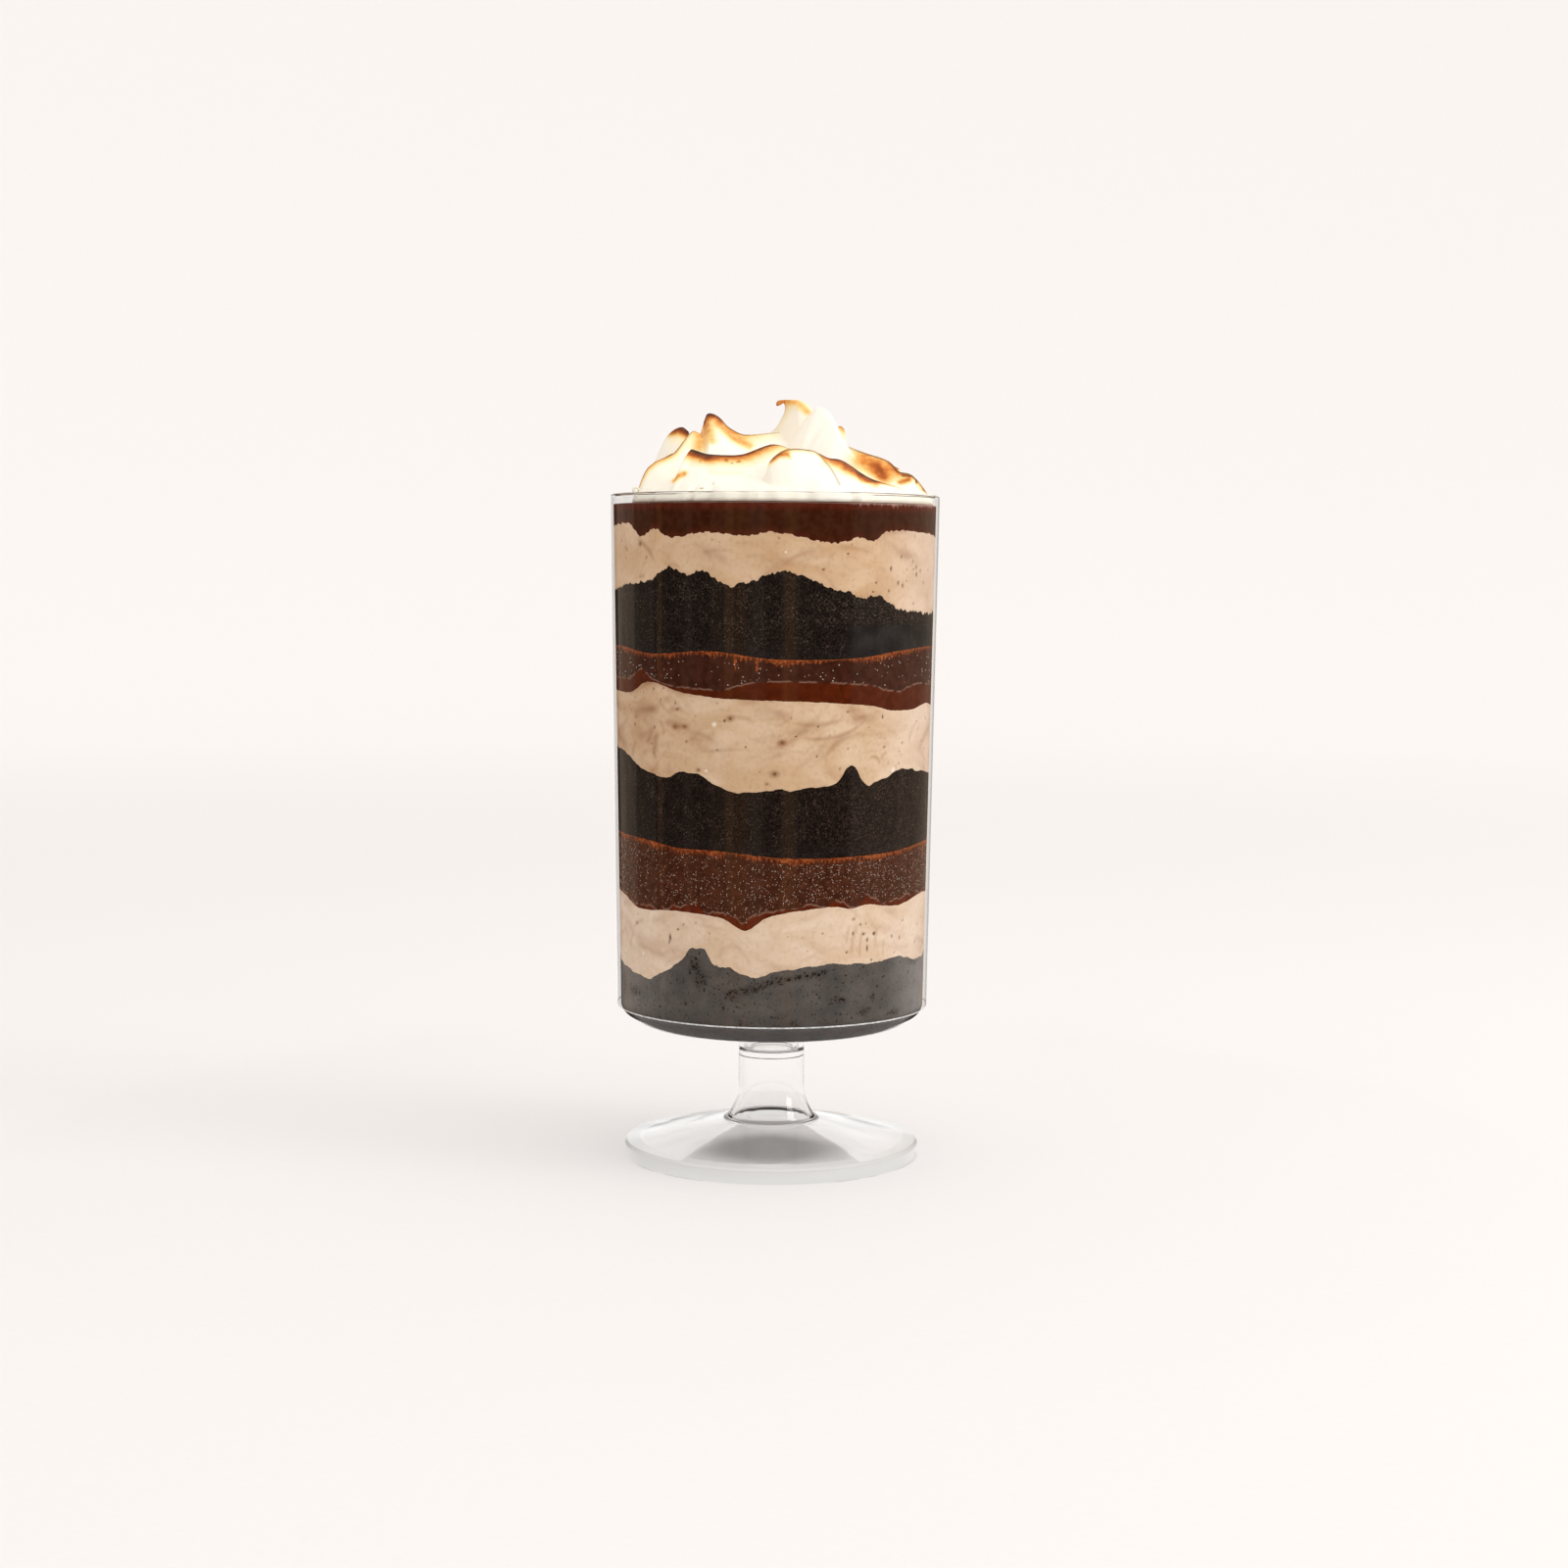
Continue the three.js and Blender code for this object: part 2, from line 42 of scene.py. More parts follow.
mm = 0.001
nearAxis = 0.2  # radius of the smallest ring round a pole
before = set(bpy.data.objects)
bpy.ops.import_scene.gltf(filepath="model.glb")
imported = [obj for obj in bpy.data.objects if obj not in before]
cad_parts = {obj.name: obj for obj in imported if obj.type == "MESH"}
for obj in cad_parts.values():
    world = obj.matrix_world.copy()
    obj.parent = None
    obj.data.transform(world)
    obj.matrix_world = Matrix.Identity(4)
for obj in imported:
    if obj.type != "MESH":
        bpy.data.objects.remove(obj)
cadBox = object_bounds()


def srgb(hexColour):
    # each channel of the hex colour, turned from sRGB to linear light
    parts = [int(hexColour[i:i + 2], 16) / 255 for i in (1, 3, 5)]
    return (*(c / 12.92 if c <= 0.04045 else ((c + 0.055) / 1.055) ** 2.4 for c in parts), 1.0)


def smooth(value, low, high):
    # 0 below low, 1 above high, and an S-curve between
    t = np.clip((value - low) / (high - low), 0, 1)
    return t * t * (3 - 2 * t)


def hump(value, start, full, falling, end):
    # 0 up to start, 1 from full to falling, and 0 again past end
    return smooth(value, start, full) * (1 - smooth(value, falling, end))


def cubic(a, b, c, d, t):
    # from b to c as t goes from 0 to 1, leaving each along the chord of its neighbours
    return b + ((c - a) * t + (2 * a - 5 * b + 4 * c - d) * t ** 2 + (3 * b - a - 3 * c + d) * t ** 3) / 2


def azimuths(steps):
    return np.arange(steps) * 2 * math.pi / steps


def signedDegrees(azimuth):
    # from -180 to 180, so that the left is negative
    return (np.degrees(azimuth) + 180) % 360 - 180


def newMaterial(name):
    material = bpy.data.materials.new(name)
    material.use_nodes = True
    material.node_tree.nodes.clear()
    return material


# The settings and the output that a kind of node nearly always has here.
usualSettings = {"Mix": {"data_type": "RGBA"}, "MapRange": {"interpolation_type": "SMOOTHSTEP"}}
usualOutput = {"Mix": 2, "Attribute": "Fac", "LayerWeight": "Facing", "TexCoord": "Object"}


def add(owner, kind, inputs, output=None, stops=(), **settings):
    # a shader node in a material or world; inputs gives its sockets, in their order or by name or number, a
    # value, a hex colour or another node's output, and stops the (place, hex colour) of a colour ramp
    node = owner.node_tree.nodes.new("ShaderNode" + kind)
    for key, value in {**usualSettings.get(kind, {}), **settings}.items():
        setattr(node, key, value)
    for key, value in inputs.items() if isinstance(inputs, dict) else enumerate(inputs):
        if isinstance(value, bpy.types.NodeSocket):
            owner.node_tree.links.new(value, node.inputs[key])
        else:
            node.inputs[key].default_value = srgb(value) if isinstance(value, str) else value
    if stops:
        elements = node.color_ramp.elements
        while len(elements) < len(stops):
            elements.new(0.5)
        for element, (place, colour) in zip(elements, stops):
            element.position, element.color = place, srgb(colour)
    return node.outputs[usualOutput.get(kind, 0) if output is None else output] if node.outputs else None


def lumps(material, size, detail=3.0, roughness=0.5, distortion=0.0, stretch=(1, 1, 1)):
    # noise on the piece's own coordinates, whose lumps are about size millimetres across
    place = add(material, "Mapping", {"Vector": add(material, "TexCoord", {}), "Scale": stretch})
    return add(material, "TexNoise", {"Vector": place, "Scale": 1 / (size * mm), "Detail": detail,
                                      "Roughness": roughness, "Distortion": distortion})


def painted(material, colour, *coats):
    # coats of (amount, colour) over one another; an amount is an output or the name of an attribute
    for amount, coat in coats:
        if isinstance(amount, str):
            amount = add(material, "Attribute", {}, attribute_name=amount)
        colour = add(material, "Mix", {0: amount, 6: colour, 7: coat})
    return colour


def finished(material, surface):
    add(material, "OutputMaterial", {"Surface": surface})
    return material


def food(material, colour, roughness, height, depth, strength, more=None):
    # matt food with a relief of depth millimetres where height goes from 0 to 1
    relief = add(material, "Bump", {"Height": height, "Distance": depth * mm, "Strength": strength})
    surface = {"Base Color": colour, "Roughness": roughness, "Specular IOR Level": 0.0, "Normal": relief}
    return finished(material, add(material, "BsdfPrincipled", {**surface, **(more or {})}))


def bandFaces(rows, steps):
    # quads between rings of the same number of points, one above the next
    lower = (np.arange(rows - 1) * steps)[:, None] + np.arange(steps)
    after = (np.arange(rows - 1) * steps)[:, None] + (np.arange(steps) + 1) % steps
    return np.stack([lower, after, after + steps, lower + steps], -1).reshape(-1, 4)


def fanFaces(ring, pole, steps, up):
    # triangles from a ring to a pole
    here, after = ring + np.arange(steps), ring + (np.arange(steps) + 1) % steps
    ends = np.full(steps, pole)
    return np.stack([here, after, ends] if up else [after, here, ends], -1)


def closedRings(rings):
    # points and faces of a closed surface through rings of points, from a pole at the middle of the
    # first ring to one at the middle of the last; it faces outwards where the first ring lies lowest
    count, steps = rings.shape[:2]
    points = np.vstack([rings.reshape(-1, 3), rings[0].mean(0), rings[-1].mean(0)])
    first = fanFaces(0, count * steps, steps, up=False)
    last = fanFaces((count - 1) * steps, count * steps + 1, steps, up=True)
    return points, [bandFaces(count, steps), first, last]


def ringAt(azimuth, radius, z):
    return np.stack(np.broadcast_arrays(radius * np.sin(azimuth), -radius * np.cos(azimuth), z), -1)


def addMesh(name, points, faces, materials, attributes=None, materialIndex=None):
    # points in millimetres, and faces as arrays of quads or triangles
    mesh = bpy.data.meshes.new(name)
    mesh.vertices.add(len(points))
    mesh.vertices.foreach_set("co", (points * mm).astype(np.float32).ravel())
    corners = np.concatenate([group.ravel() for group in faces])
    sizes = np.concatenate([np.full(len(group), group.shape[1]) for group in faces])
    mesh.loops.add(len(corners))
    mesh.loops.foreach_set("vertex_index", corners.astype(np.int32))
    mesh.polygons.add(len(sizes))
    mesh.polygons.foreach_set("loop_start", (np.cumsum(sizes) - sizes).astype(np.int32))
    mesh.polygons.foreach_set("use_smooth", np.ones(len(sizes), dtype=bool))
    if materialIndex is not None:
        mesh.polygons.foreach_set("material_index", materialIndex.astype(np.int32))
    mesh.update(calc_edges=True)
    for key, values in (attributes or {}).items():
        layer = mesh.attributes.new(key, "FLOAT", "POINT")
        layer.data.foreach_set("value", values.astype(np.float32).ravel())
    for material in materials:
        mesh.materials.append(material)
    piece = bpy.data.objects.new(name, mesh)
    bpy.context.scene.collection.objects.link(piece)
    return piece


def addPiece(name, node, points, faces, materials, attributes=None, materialIndex=None, standsFor=True):
    # a piece with the given materials, attached to the root, which stands for an imported node and hides it,
    # or only adds to it
    piece = addMesh(name, points, faces, materials, attributes, materialIndex)
    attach(piece, "root")
    if standsFor:
        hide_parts(node)


cup = dict(
    steps=192, rimZ=252.6, rimRadius=62.5, rimWall=1.6, wall=2.0, baseZ=51.6, baseRadius=59.5,
    cornerRadius=6.7, floor=2.8, innerCorner=4.7, bossRadius=12.6, bossBore=10.6, bossZ=41.3,
    stepIn=0.2, stepRise=0.55)  # a moulded step runs round where the wall meets the base
foot = dict(
    topZ=41.0, cap=2.6, stemRadius=12.6, stemBore=10.8, spigotRadius=10.3, spigotBore=8.3, spigotTop=47.0,
    flareTopZ=27.4, flareBaseZ=14.5, flareRadius=17.0, flareHollow=2.2, slopeRadius=55.6, skirtZ=5.9,
    radius=57.0, shell=1.9, fillet=2.2, skirtLean=0.4, skirtRound=0.9,
    rim=5.2, rimShare=0.13)  # the underside and skirt this near the edge are seen through without a shift


def cupInside(z):
    # drafted wall, less a quarter round where it turns into the floor
    rise = (z - cup["baseZ"]) / (cup["rimZ"] - cup["baseZ"])
    thickness = cup["wall"] + (cup["rimWall"] - cup["wall"]) * rise
    wall = cup["baseRadius"] + (cup["rimRadius"] - cup["baseRadius"]) * rise - thickness
    above = np.clip((z - cup["baseZ"] - cup["floor"]) / cup["innerCorner"], 0, 1)
    return wall - cup["innerCorner"] * (1 - np.sqrt(1 - (1 - above) ** 2))


def arcPoints(r, z, radius, start, end, count):
    # a stretch of circle about (r, z), from one angle to another
    angle = np.radians(np.linspace(start, end, count))
    return np.stack([r + radius * np.cos(angle), z + radius * np.sin(angle)], 1)


def softened(profile, reach, most=0.22):
    # each corner of a profile is cut back by reach, or by most of the shorter side, which rounds it, and a
    # point further along each side keeps the rounding's shading off the flat beyond
    here = profile[1:-1]
    back, on = profile[:-2] - here, profile[2:] - here
    backLength, onLength = (np.linalg.norm(side, axis=1, keepdims=True) for side in (back, on))
    cut = np.minimum(reach, most * np.minimum(backLength, onLength))
    back, on = back / backLength * cut, on / onLength * cut
    middle = here + (back + on) / 4
    inner = np.stack([here + 2 * back, here + back, middle, here + on, here + 2 * on], 1).reshape(-1, 2)
    return np.vstack([profile[:1], inner, profile[-1:]])


def turned(profile):
    # closed rings of a profile of (radius, z) carried round the axis; its ends are the poles
    azimuth = azimuths(cup["steps"])
    points, faces = closedRings(np.stack([ringAt(azimuth, r, z) for r, z in profile[1:-1]]))
    centres = np.concatenate([points[group].mean(1) for group in faces])
    return points, faces, centres[:, 2], np.hypot(centres[:, 0], centres[:, 1])


def cupProfile():
    c = cup
    base, wall, step = c["baseZ"], c["baseRadius"], c["stepIn"]
    floorZ, cornerZ = base + c["floor"], base + c["cornerRadius"]
    flat, bead = wall - c["cornerRadius"], c["rimWall"] / 2
    under = np.array([[nearAxis, base], [c["bossBore"], base], [c["bossBore"], c["bossZ"]],
                      [c["bossRadius"], c["bossZ"]], [c["bossRadius"], base], [flat, base]])
    corner = arcPoints(flat, cornerZ, c["cornerRadius"] - step, -90, 0, 12)
    corner[:, 1] -= step * np.linspace(1, 0, len(corner))
    lip = np.array([corner[-1], corner[-1] + [0, step], [wall - step / 2, cornerZ + c["stepRise"] - 0.25],
                    [wall, cornerZ + c["stepRise"]], [wall + 0.05, cornerZ + 3]])
    rim = arcPoints(c["rimRadius"] - bead, c["rimZ"] - bead, bead, 0, 180, 9)
    innerCorner = floorZ + c["innerCorner"] * (1 - np.sin(np.linspace(0, math.pi / 2, 9)))
    levels = np.concatenate([[c["rimZ"] - 1], np.linspace(c["rimZ"] - c["rimWall"], innerCorner[0], 12)[:-1],
                             innerCorner])
    inner = np.stack([cupInside(levels), levels], 1)
    return np.vstack([[[0, base]], softened(under, 0.35), corner[1:], softened(lip, step)[1:], rim, inner,
                      [[nearAxis, floorZ], [0, floorZ]]])


def footProfile():
    # the flare's outline draws in from its foot as (1 - rise) to a power, and a curve through three points
    # rounds its foot
    f = foot
    rise = np.linspace(0, 1, 12)
    drawnIn = (1 - rise) ** f["flareHollow"]
    z = f["flareBaseZ"] + (f["flareTopZ"] - f["flareBaseZ"]) * rise
    outer = np.stack([f["stemRadius"] + (f["flareRadius"] - f["stemRadius"]) * drawnIn, z], 1)
    inner = np.stack([f["stemBore"] + (f["flareRadius"] - f["shell"] / 2 - f["stemBore"]) * drawnIn,
                      z - f["shell"] * drawnIn], 1)[::-1]
    edge = np.array([f["slopeRadius"], f["skirtZ"]])
    slope = edge - outer[0]
    share = np.linspace(0, 1, 7)[:, None]
    start = outer[0] + f["fillet"] * slope / np.linalg.norm(slope)
    fillet = (1 - share) ** 2 * start + 2 * share * (1 - share) * outer[0] + share ** 2 * outer[1]
    inEdge = edge - (f["shell"] / 2, f["shell"])
    ceiling = f["topZ"] - f["cap"]
    profile = np.vstack([
        [[nearAxis, ceiling], [f["stemBore"], ceiling]], inner,
        [inEdge + (inner[-1] - inEdge) * f["rimShare"], inEdge],
        [[f["radius"] - f["shell"], 0], [f["radius"], 0]],
        [[f["radius"] - f["skirtLean"], f["skirtZ"] - f["skirtRound"]], edge], fillet, outer[2:],
        [[f["stemRadius"], f["topZ"]], [f["spigotRadius"], f["topZ"]], [f["spigotRadius"], f["spigotTop"]]],
        [[f["spigotBore"], f["spigotTop"]], [f["spigotBore"], f["topZ"]], [nearAxis, f["topZ"]]]])
    return np.vstack([[[0, ceiling]], softened(profile, 0.35), [[0, f["topZ"]]]])


def clearPlastic(name, grazing):
    # injection moulded general purpose polystyrene: water clear, very glossy, IOR 1.59, faintly waved by the
    # mould; lamps shine through it, so that the food behind is lit, and so does what is seen through it past
    # the two grazing amounts, where its bending would only show the food again
    material = newMaterial(name)
    wave = lumps(material, 22, detail=1, stretch=(1, 1, 0.4))
    relief = add(material, "Bump", {"Height": wave, "Distance": 0.25 * mm, "Strength": 0.5})
    glass = add(material, "BsdfPrincipled", {"Base Color": "#FFFFFF", "Roughness": 0.02, "IOR": 1.59,
                                             "Transmission Weight": 1.0, "Normal": relief})
    through = add(material, "BsdfTransparent", {"Color": "#FFFFFF"})
    aslant = add(material, "MapRange", (add(material, "LayerWeight", {"Blend": 0.5}), *grazing, 0, 1))
    shadow = add(material, "LightPath", {}, "Is Shadow Ray")
    share = add(material, "Math", (shadow, aslant), operation="MAXIMUM")
    return finished(material, add(material, "MixShader", (share, glass, through)))


def clearWall():
    # the drawn, even wall of the same polystyrene, so thin against its curve that it shifts nothing
    # seen through it: it lets light straight through and mirrors more of it towards the sides
    material = newMaterial("clear polystyrene wall")
    wave = lumps(material, 26, detail=1, stretch=(1, 1, 0.3))
    relief = add(material, "Bump", {"Height": wave, "Distance": 0.12 * mm, "Strength": 0.4})
    gloss = add(material, "BsdfGlossy", {"Color": "#FFFFFF", "Roughness": 0.03, "Normal": relief})
    aslant = add(material, "MapRange", (add(material, "LayerWeight", {"Blend": 0.5}), 0.5, 0.85, 0, 1))
    through = add(material, "BsdfTransparent", {"Color": painted(material, "#FAFBFB", (aslant, "#FFFFFF"))})
    mirrored = add(material, "Fresnel", {"IOR": 1.45, "Normal": relief})
    inside = add(material, "NewGeometry", {}, "Backfacing")
    outside = add(material, "Math", (1.0, inside), operation="SUBTRACT")
    share = add(material, "Math", (mirrored, outside), operation="MULTIPLY")
    return finished(material, add(material, "MixShader", (share, through, gloss)))


def highlightedStep():
    # the step where two halves of the mould met, a hair rough, with a pale finish all round as a painted
    # highlight
    material = newMaterial("clear polystyrene step, painted highlight")
    scatter = add(material, "BsdfPrincipled", {"Base Color": "#EEF0F0", "Roughness": 0.3, "IOR": 1.59})
    through = add(material, "BsdfTransparent", {"Color": "#F2F4F5"})
    share = add(material, "MapRange", (lumps(material, 1.5, detail=2), 0.35, 0.65, 0.5, 0.9))
    return finished(material, add(material, "MixShader", (share, through, scatter)))


def makeCup():
    plastic, wall = clearPlastic("clear polystyrene", (0.97, 0.99)), clearWall()
    points, faces, levels, radii = turned(footProfile())
    steepness = (foot["flareBaseZ"] - foot["skirtZ"]) / (foot["slopeRadius"] - foot["flareRadius"])
    topSlope = foot["skirtZ"] + (foot["slopeRadius"] - radii) * steepness
    fold = (radii > foot["slopeRadius"] - foot["rim"]) & (levels < topSlope - 0.8)
    addPiece("clear_foot", "pedestal", points, faces, [plastic, wall], materialIndex=fold)
    points, faces, levels, radii = turned(cupProfile())
    stepZ = cup["baseZ"] + cup["cornerRadius"]
    index = ((levels > stepZ) & (levels < cup["rimZ"] - 0.9)).astype(int)
    # the step's faces get the painted highlight
    index[(levels > stepZ) & (levels < stepZ + cup["stepRise"]) & (radii > cupInside(stepZ) + 0.5)] = 2
    index[(levels < stepZ) & (radii > cup["bossRadius"] + 1)] = 3
    base = clearPlastic("clear polystyrene base", (0.5, 0.62))
    addPiece("clear_cup", "cup", points, faces, [plastic, wall, highlightedStep(), base], materialIndex=index)
    print("cup and foot made")


layerOrder = ["cake_bottom", "mousse_bottom", "pudding_bottom", "cake_middle", "mousse_middle",
              "pudding_middle", "cake_top", "mousse_top", "pudding_top"]
layers = dict(
    steps=960, rowHeight=0.5, radius=60, intoWall=0.3,
    cover=(0.5, 0.8, 0.95),  # rings of the two faces of a layer, as shares of its radius
    ragged=0.07, crumbs=dict(cake_bottom=0.12, cake_middle=0.1, cake_top=0.42, mousse_top=0.3),
    lumps=dict(cake_bottom=[  # (azimuth, rise): a torn lump with a flat top stands up into the mousse
        (-40, 0), (-37.6, 0.4), (-34.5, 0.3), (-32.1, 0.9), (-31.2, 1.1), (-28.1, -1.5), (-24.7, -0.6),
        (-23.5, -1.4), (-21.8, -2.4), (-19.5, -0.6), (-17.7, 0.4), (-13.7, 0.2), (-11, 0)]))


def nodeSeams(name):
    # the lower and upper edge of a packed layer at each of its azimuths, from its outermost points
    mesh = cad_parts[name].data
    points = np.empty(len(mesh.vertices) * 3)
    mesh.vertices.foreach_get("co", points)
    points = points.reshape(-1, 3) / mm
    points = points[np.hypot(points[:, 0], points[:, 1]) > 2 / 3 * layers["radius"]]
    azimuth = np.degrees(np.arctan2(points[:, 0], -points[:, 1])) % 360
    count = len(np.unique(np.round(azimuth, 1) % 360))
    bins = np.round(azimuth * count / 360).astype(int) % count
    low, high = np.full(count, np.inf), np.full(count, -np.inf)
    np.minimum.at(low, bins, points[:, 2])
    np.maximum.at(high, bins, points[:, 2])
    return low, high


def seamCurve(levels):
    # a smooth closed line through evenly spaced levels
    place = np.arange(layers["steps"]) * len(levels) / layers["steps"]
    i = np.floor(place).astype(int)
    return cubic(*(levels[(i + shift) % len(levels)] for shift in (-1, 0, 1, 2)), place - i)


def closedNoise(longest, shortest, seed):
    # a closed line of random waves between two wavelengths in millimetres, with a spread of 1
    around = 2 * math.pi * layers["radius"]
    waves = np.unique(np.round(np.geomspace(around / longest, around / shortest, 60)))
    phases = np.random.default_rng(seed).uniform(0, 6.28, len(waves))
    line = (np.sin(azimuths(layers["steps"])[:, None] * waves + phases) / waves ** 0.4).sum(1)
    return line / line.std()


def wallNoise(z, lump, seed, spread=0.45):
    # white noise kept only near one wavelength, as a field of lumps of about that many millimetres on a
    # layer's side of levels z, closed on itself, with a spread of 1
    rows, steps = z.shape
    noise = np.random.default_rng(seed).standard_normal(z.shape)
    up = np.fft.fftfreq(rows, (z[-1] - z[0]).mean() / rows)[:, None]
    along = np.fft.rfftfreq(steps, 2 * math.pi * layers["radius"] / steps)[None]
    kept = np.exp(-((np.hypot(up, along) * lump - 1) / spread) ** 2)
    field = np.fft.irfft2(np.fft.rfft2(noise) * kept, z.shape)
    return field / field.std()


def layerSeams():
    # every seam from the floor up: halfway between two packed layers, broken up by crumbs
    edges = [nodeSeams(name) for name in layerOrder]
    degrees = signedDegrees(azimuths(layers["steps"]))
    seams = [seamCurve(edges[0][0])]
    for i, name in enumerate(layerOrder[:-1]):
        places, rises = zip(*layers["lumps"].get(name, [(0, 0)]))
        line = seamCurve((edges[i][1] + edges[i + 1][0]) / 2) + np.interp(degrees, places, rises)
        ragged = layers["crumbs"].get(name, layers["ragged"])
        seams.append(line + ragged * np.tanh(1.2 * closedNoise(7, 1.1, 50 + i)))
    return seams + [seamCurve(edges[-1][1])]


def offsets(azimuth, z, place):
    # millimetres along the wall and up from a place given as (azimuth, level)
    return np.radians((np.degrees(azimuth) - place[0] + 180) % 360 - 180) * layers["radius"], z - place[1]


def arcMark(azimuth, z, place, length, tilt, bend, width):
    # a curved stroke: its middle rises by bend over half its length, and it fades out at both ends
    along, up = offsets(azimuth, z, place)
    c, s = math.cos(math.radians(tilt)), math.sin(math.radians(tilt))
    u, v = (c * along + s * up) / (length / 2), c * up - s * along
    return np.exp(-((v + bend * (u ** 2 - 0.5)) / width) ** 2) * (1 - smooth(np.abs(u), 0.5, 1))


def spotMark(azimuth, z, place, radius, stretch=1.0):
    along, up = offsets(azimuth, z, place)
    return np.exp(-(np.hypot(along, up / stretch) / radius) ** 3)


def makeLayer(name, lower, upper, material, paint):
    # a side that follows the wall from the lower line to the upper one, closed by two faces that run in from
    # those lines to their mean level; paint gives the side's fields and how far it is pushed in
    rows = int((upper - lower).max() / layers["rowHeight"]) + 2
    z = lower + (upper - lower) * np.linspace(0, 1, rows)[:, None]
    azimuth = azimuths(layers["steps"])
    fields, inward = paint(azimuth, z)
    side = [ringAt(azimuth, cupInside(z) + layers["intoWall"] - inward, z)]
    under, over = ([ringAt(azimuth, s * (cupInside(line) + layers["intoWall"] - 1),
                           line.mean() + (line - line.mean()) * s ** 2)[None] for s in layers["cover"]]
                   for line in (lower, upper))
    points, faces = closedRings(np.concatenate(under + side + over[::-1]))
    values = {}
    for key, field in fields.items():
        rings = [field[:1]] * len(under) + [field] + [field[-1:]] * len(over)
        values[key] = np.append(np.concatenate(rings), [field[0].mean(), field[-1].mean()])
    addPiece(name.replace("_", "_layer_"), name, points, faces, [material], values)


def cakeMaterial(name, crumbTones, filmTones):
    # moist dark cocoa sponge: near-black brown crumb with open pores, and smooth and greyish where a
    # film of it sticks flat to the plastic
    material = newMaterial(name)
    grain = lumps(material, 0.9, detail=4, roughness=0.6)
    cloud = lumps(material, 9, stretch=(1, 1, 1.5))
    patches = add(material, "MapRange", (lumps(material, 4.5, detail=2), 0.4, 0.62, 0.15, 1))
    fine = add(material, "MapRange", (lumps(material, 0.7, roughness=0.75), 0.52, 0.66, 0, 0.9))
    speckle = add(material, "Math", (fine, patches), operation="MULTIPLY")
    crumbs = add(material, "ValToRGB", (grain,), stops=list(zip((0.35, 0.52, 0.68), crumbTones)))
    crumbs = painted(material, crumbs, (speckle, crumbTones[3]))
    clouds = add(material, "Math", (cloud, 0.65), operation="MULTIPLY")
    smear = add(material, "Math", (grain, 0.35, clouds), operation="MULTIPLY_ADD")
    film = add(material, "ValToRGB", (smear,), stops=list(zip((0.36, 0.5, 0.62), filmTones)))
    dots = add(material, "Math", (speckle, 0.5), operation="MULTIPLY")
    # the pale coat is a painted reflection and light that lightens the film towards the sides
    film = painted(material, film, ("pale", "#95908D"), (dots, filmTones[3]))
    # the pale crumb coat holds real crumbs and, on the middle and top sponge, painted light on the right
    colour = painted(material, crumbs, ("film", film), ("crumbsAndLight", crumbTones[3]), ("pit", "#1C100D"))
    return food(material, colour, 0.65, grain, 0.3, 0.5)


def mousseMaterial(name, pale, tan, swirlAndShade, speck):
    # whipped cream folded into melted chocolate: smooth light tan with fine darker swirls left by
    # the spatula, small flecks and pricks of air
    material = newMaterial(name)
    cloud = lumps(material, 20, distortion=0.8, stretch=(1, 1, 1.8))
    mottle = lumps(material, 1.6)
    body = add(material, "ValToRGB", (cloud,), stops=((0.36, tan), (0.64, pale)))
    mottled = add(material, "MapRange", (mottle, 0.45, 0.75, 0, 0.2))
    # the pale coat is a painted highlight on the sides; the swirl coat holds the real swirls and painted
    # shade on the left
    colour = painted(material, body, (mottled, swirlAndShade), ("pale", "#F3E4DC"), ("swirlAndShade", swirlAndShade),
                     ("air", "#F6E6D6"), ("fleck", speck))
    return food(material, colour, 0.5, mottle, 0.08, 0.3)


def custardMaterial(name, body, skin, fringe):
    # cooked chocolate custard set against plastic: smooth dark brown, rusty where the cake above
    # wicks a thin line of it up, and a redder skin where it thins out below
    material = newMaterial(name)
    mottle, fine = lumps(material, 2.6, detail=4), lumps(material, 0.9, detail=2)
    upper, under, rust = (
        add(material, "ValToRGB", (noise,), stops=((0.35, dark), (0.65, light)))
        for noise, (dark, light) in ((mottle, body), (mottle, skin), (fine, ("#64240B", "#A0562E"))))
    colour = painted(material, upper, ("skin", under), ("edge", "#A07A68"), ("rust", rust),
                     ("fringe", fringe))
    return food(material, colour, 0.35, mottle, 0.08, 0.3)


def bubbleMaterial(name, pale, tan):
    # air trapped against the plastic, some of it under a thin skin of custard; the pale beads' tone is a
    # painted glint
    material = newMaterial(name)
    tone = add(material, "Attribute", {}, attribute_name="tone")
    tone = add(material, "Math", (lumps(material, 0.8), 0.2, tone), operation="MULTIPLY_ADD")
    colour = add(material, "ValToRGB", (tone,), stops=((0.25, tan), (0.8, pale)))
    surface = {"Base Color": colour, "Roughness": 0.25, "IOR": 1.4}
    return finished(material, add(material, "BsdfPrincipled", surface))


cakeFilm = dict(
    pits=[  # where the film of the bottom cake is broken: (azimuth, level, radius, stretch upwards)
        (-29, 80, 3, 1.2), (-26, 75, 3, 1.2), (-62, 67, 5, 0.4), (25, 68, 3.5, 0.4), (36, 63, 3, 0.5),
        (40, 68, 1.6, 1), (52, 61, 4, 0.3), (8, 60, 1.6, 1), (-11, 60, 1.2, 1), (66, 79, 6, 0.3),
        (-74, 68, 3, 2), (95, 70, 6, 0.6), (120, 62, 4, 0.8), (145, 75, 7, 0.4), (190, 66, 6, 0.6),
        (225, 72, 7, 0.5), (260, 63, 5, 0.5)],
    crumbLine=[(-16, 70.0), (-8, 72.1), (1, 75.5), (11, 77), (20, 78.8)],  # (azimuth, level)
    floor=(56.5, 58.5))  # levels between which the film gives way to loose crumbs on the cup's floor


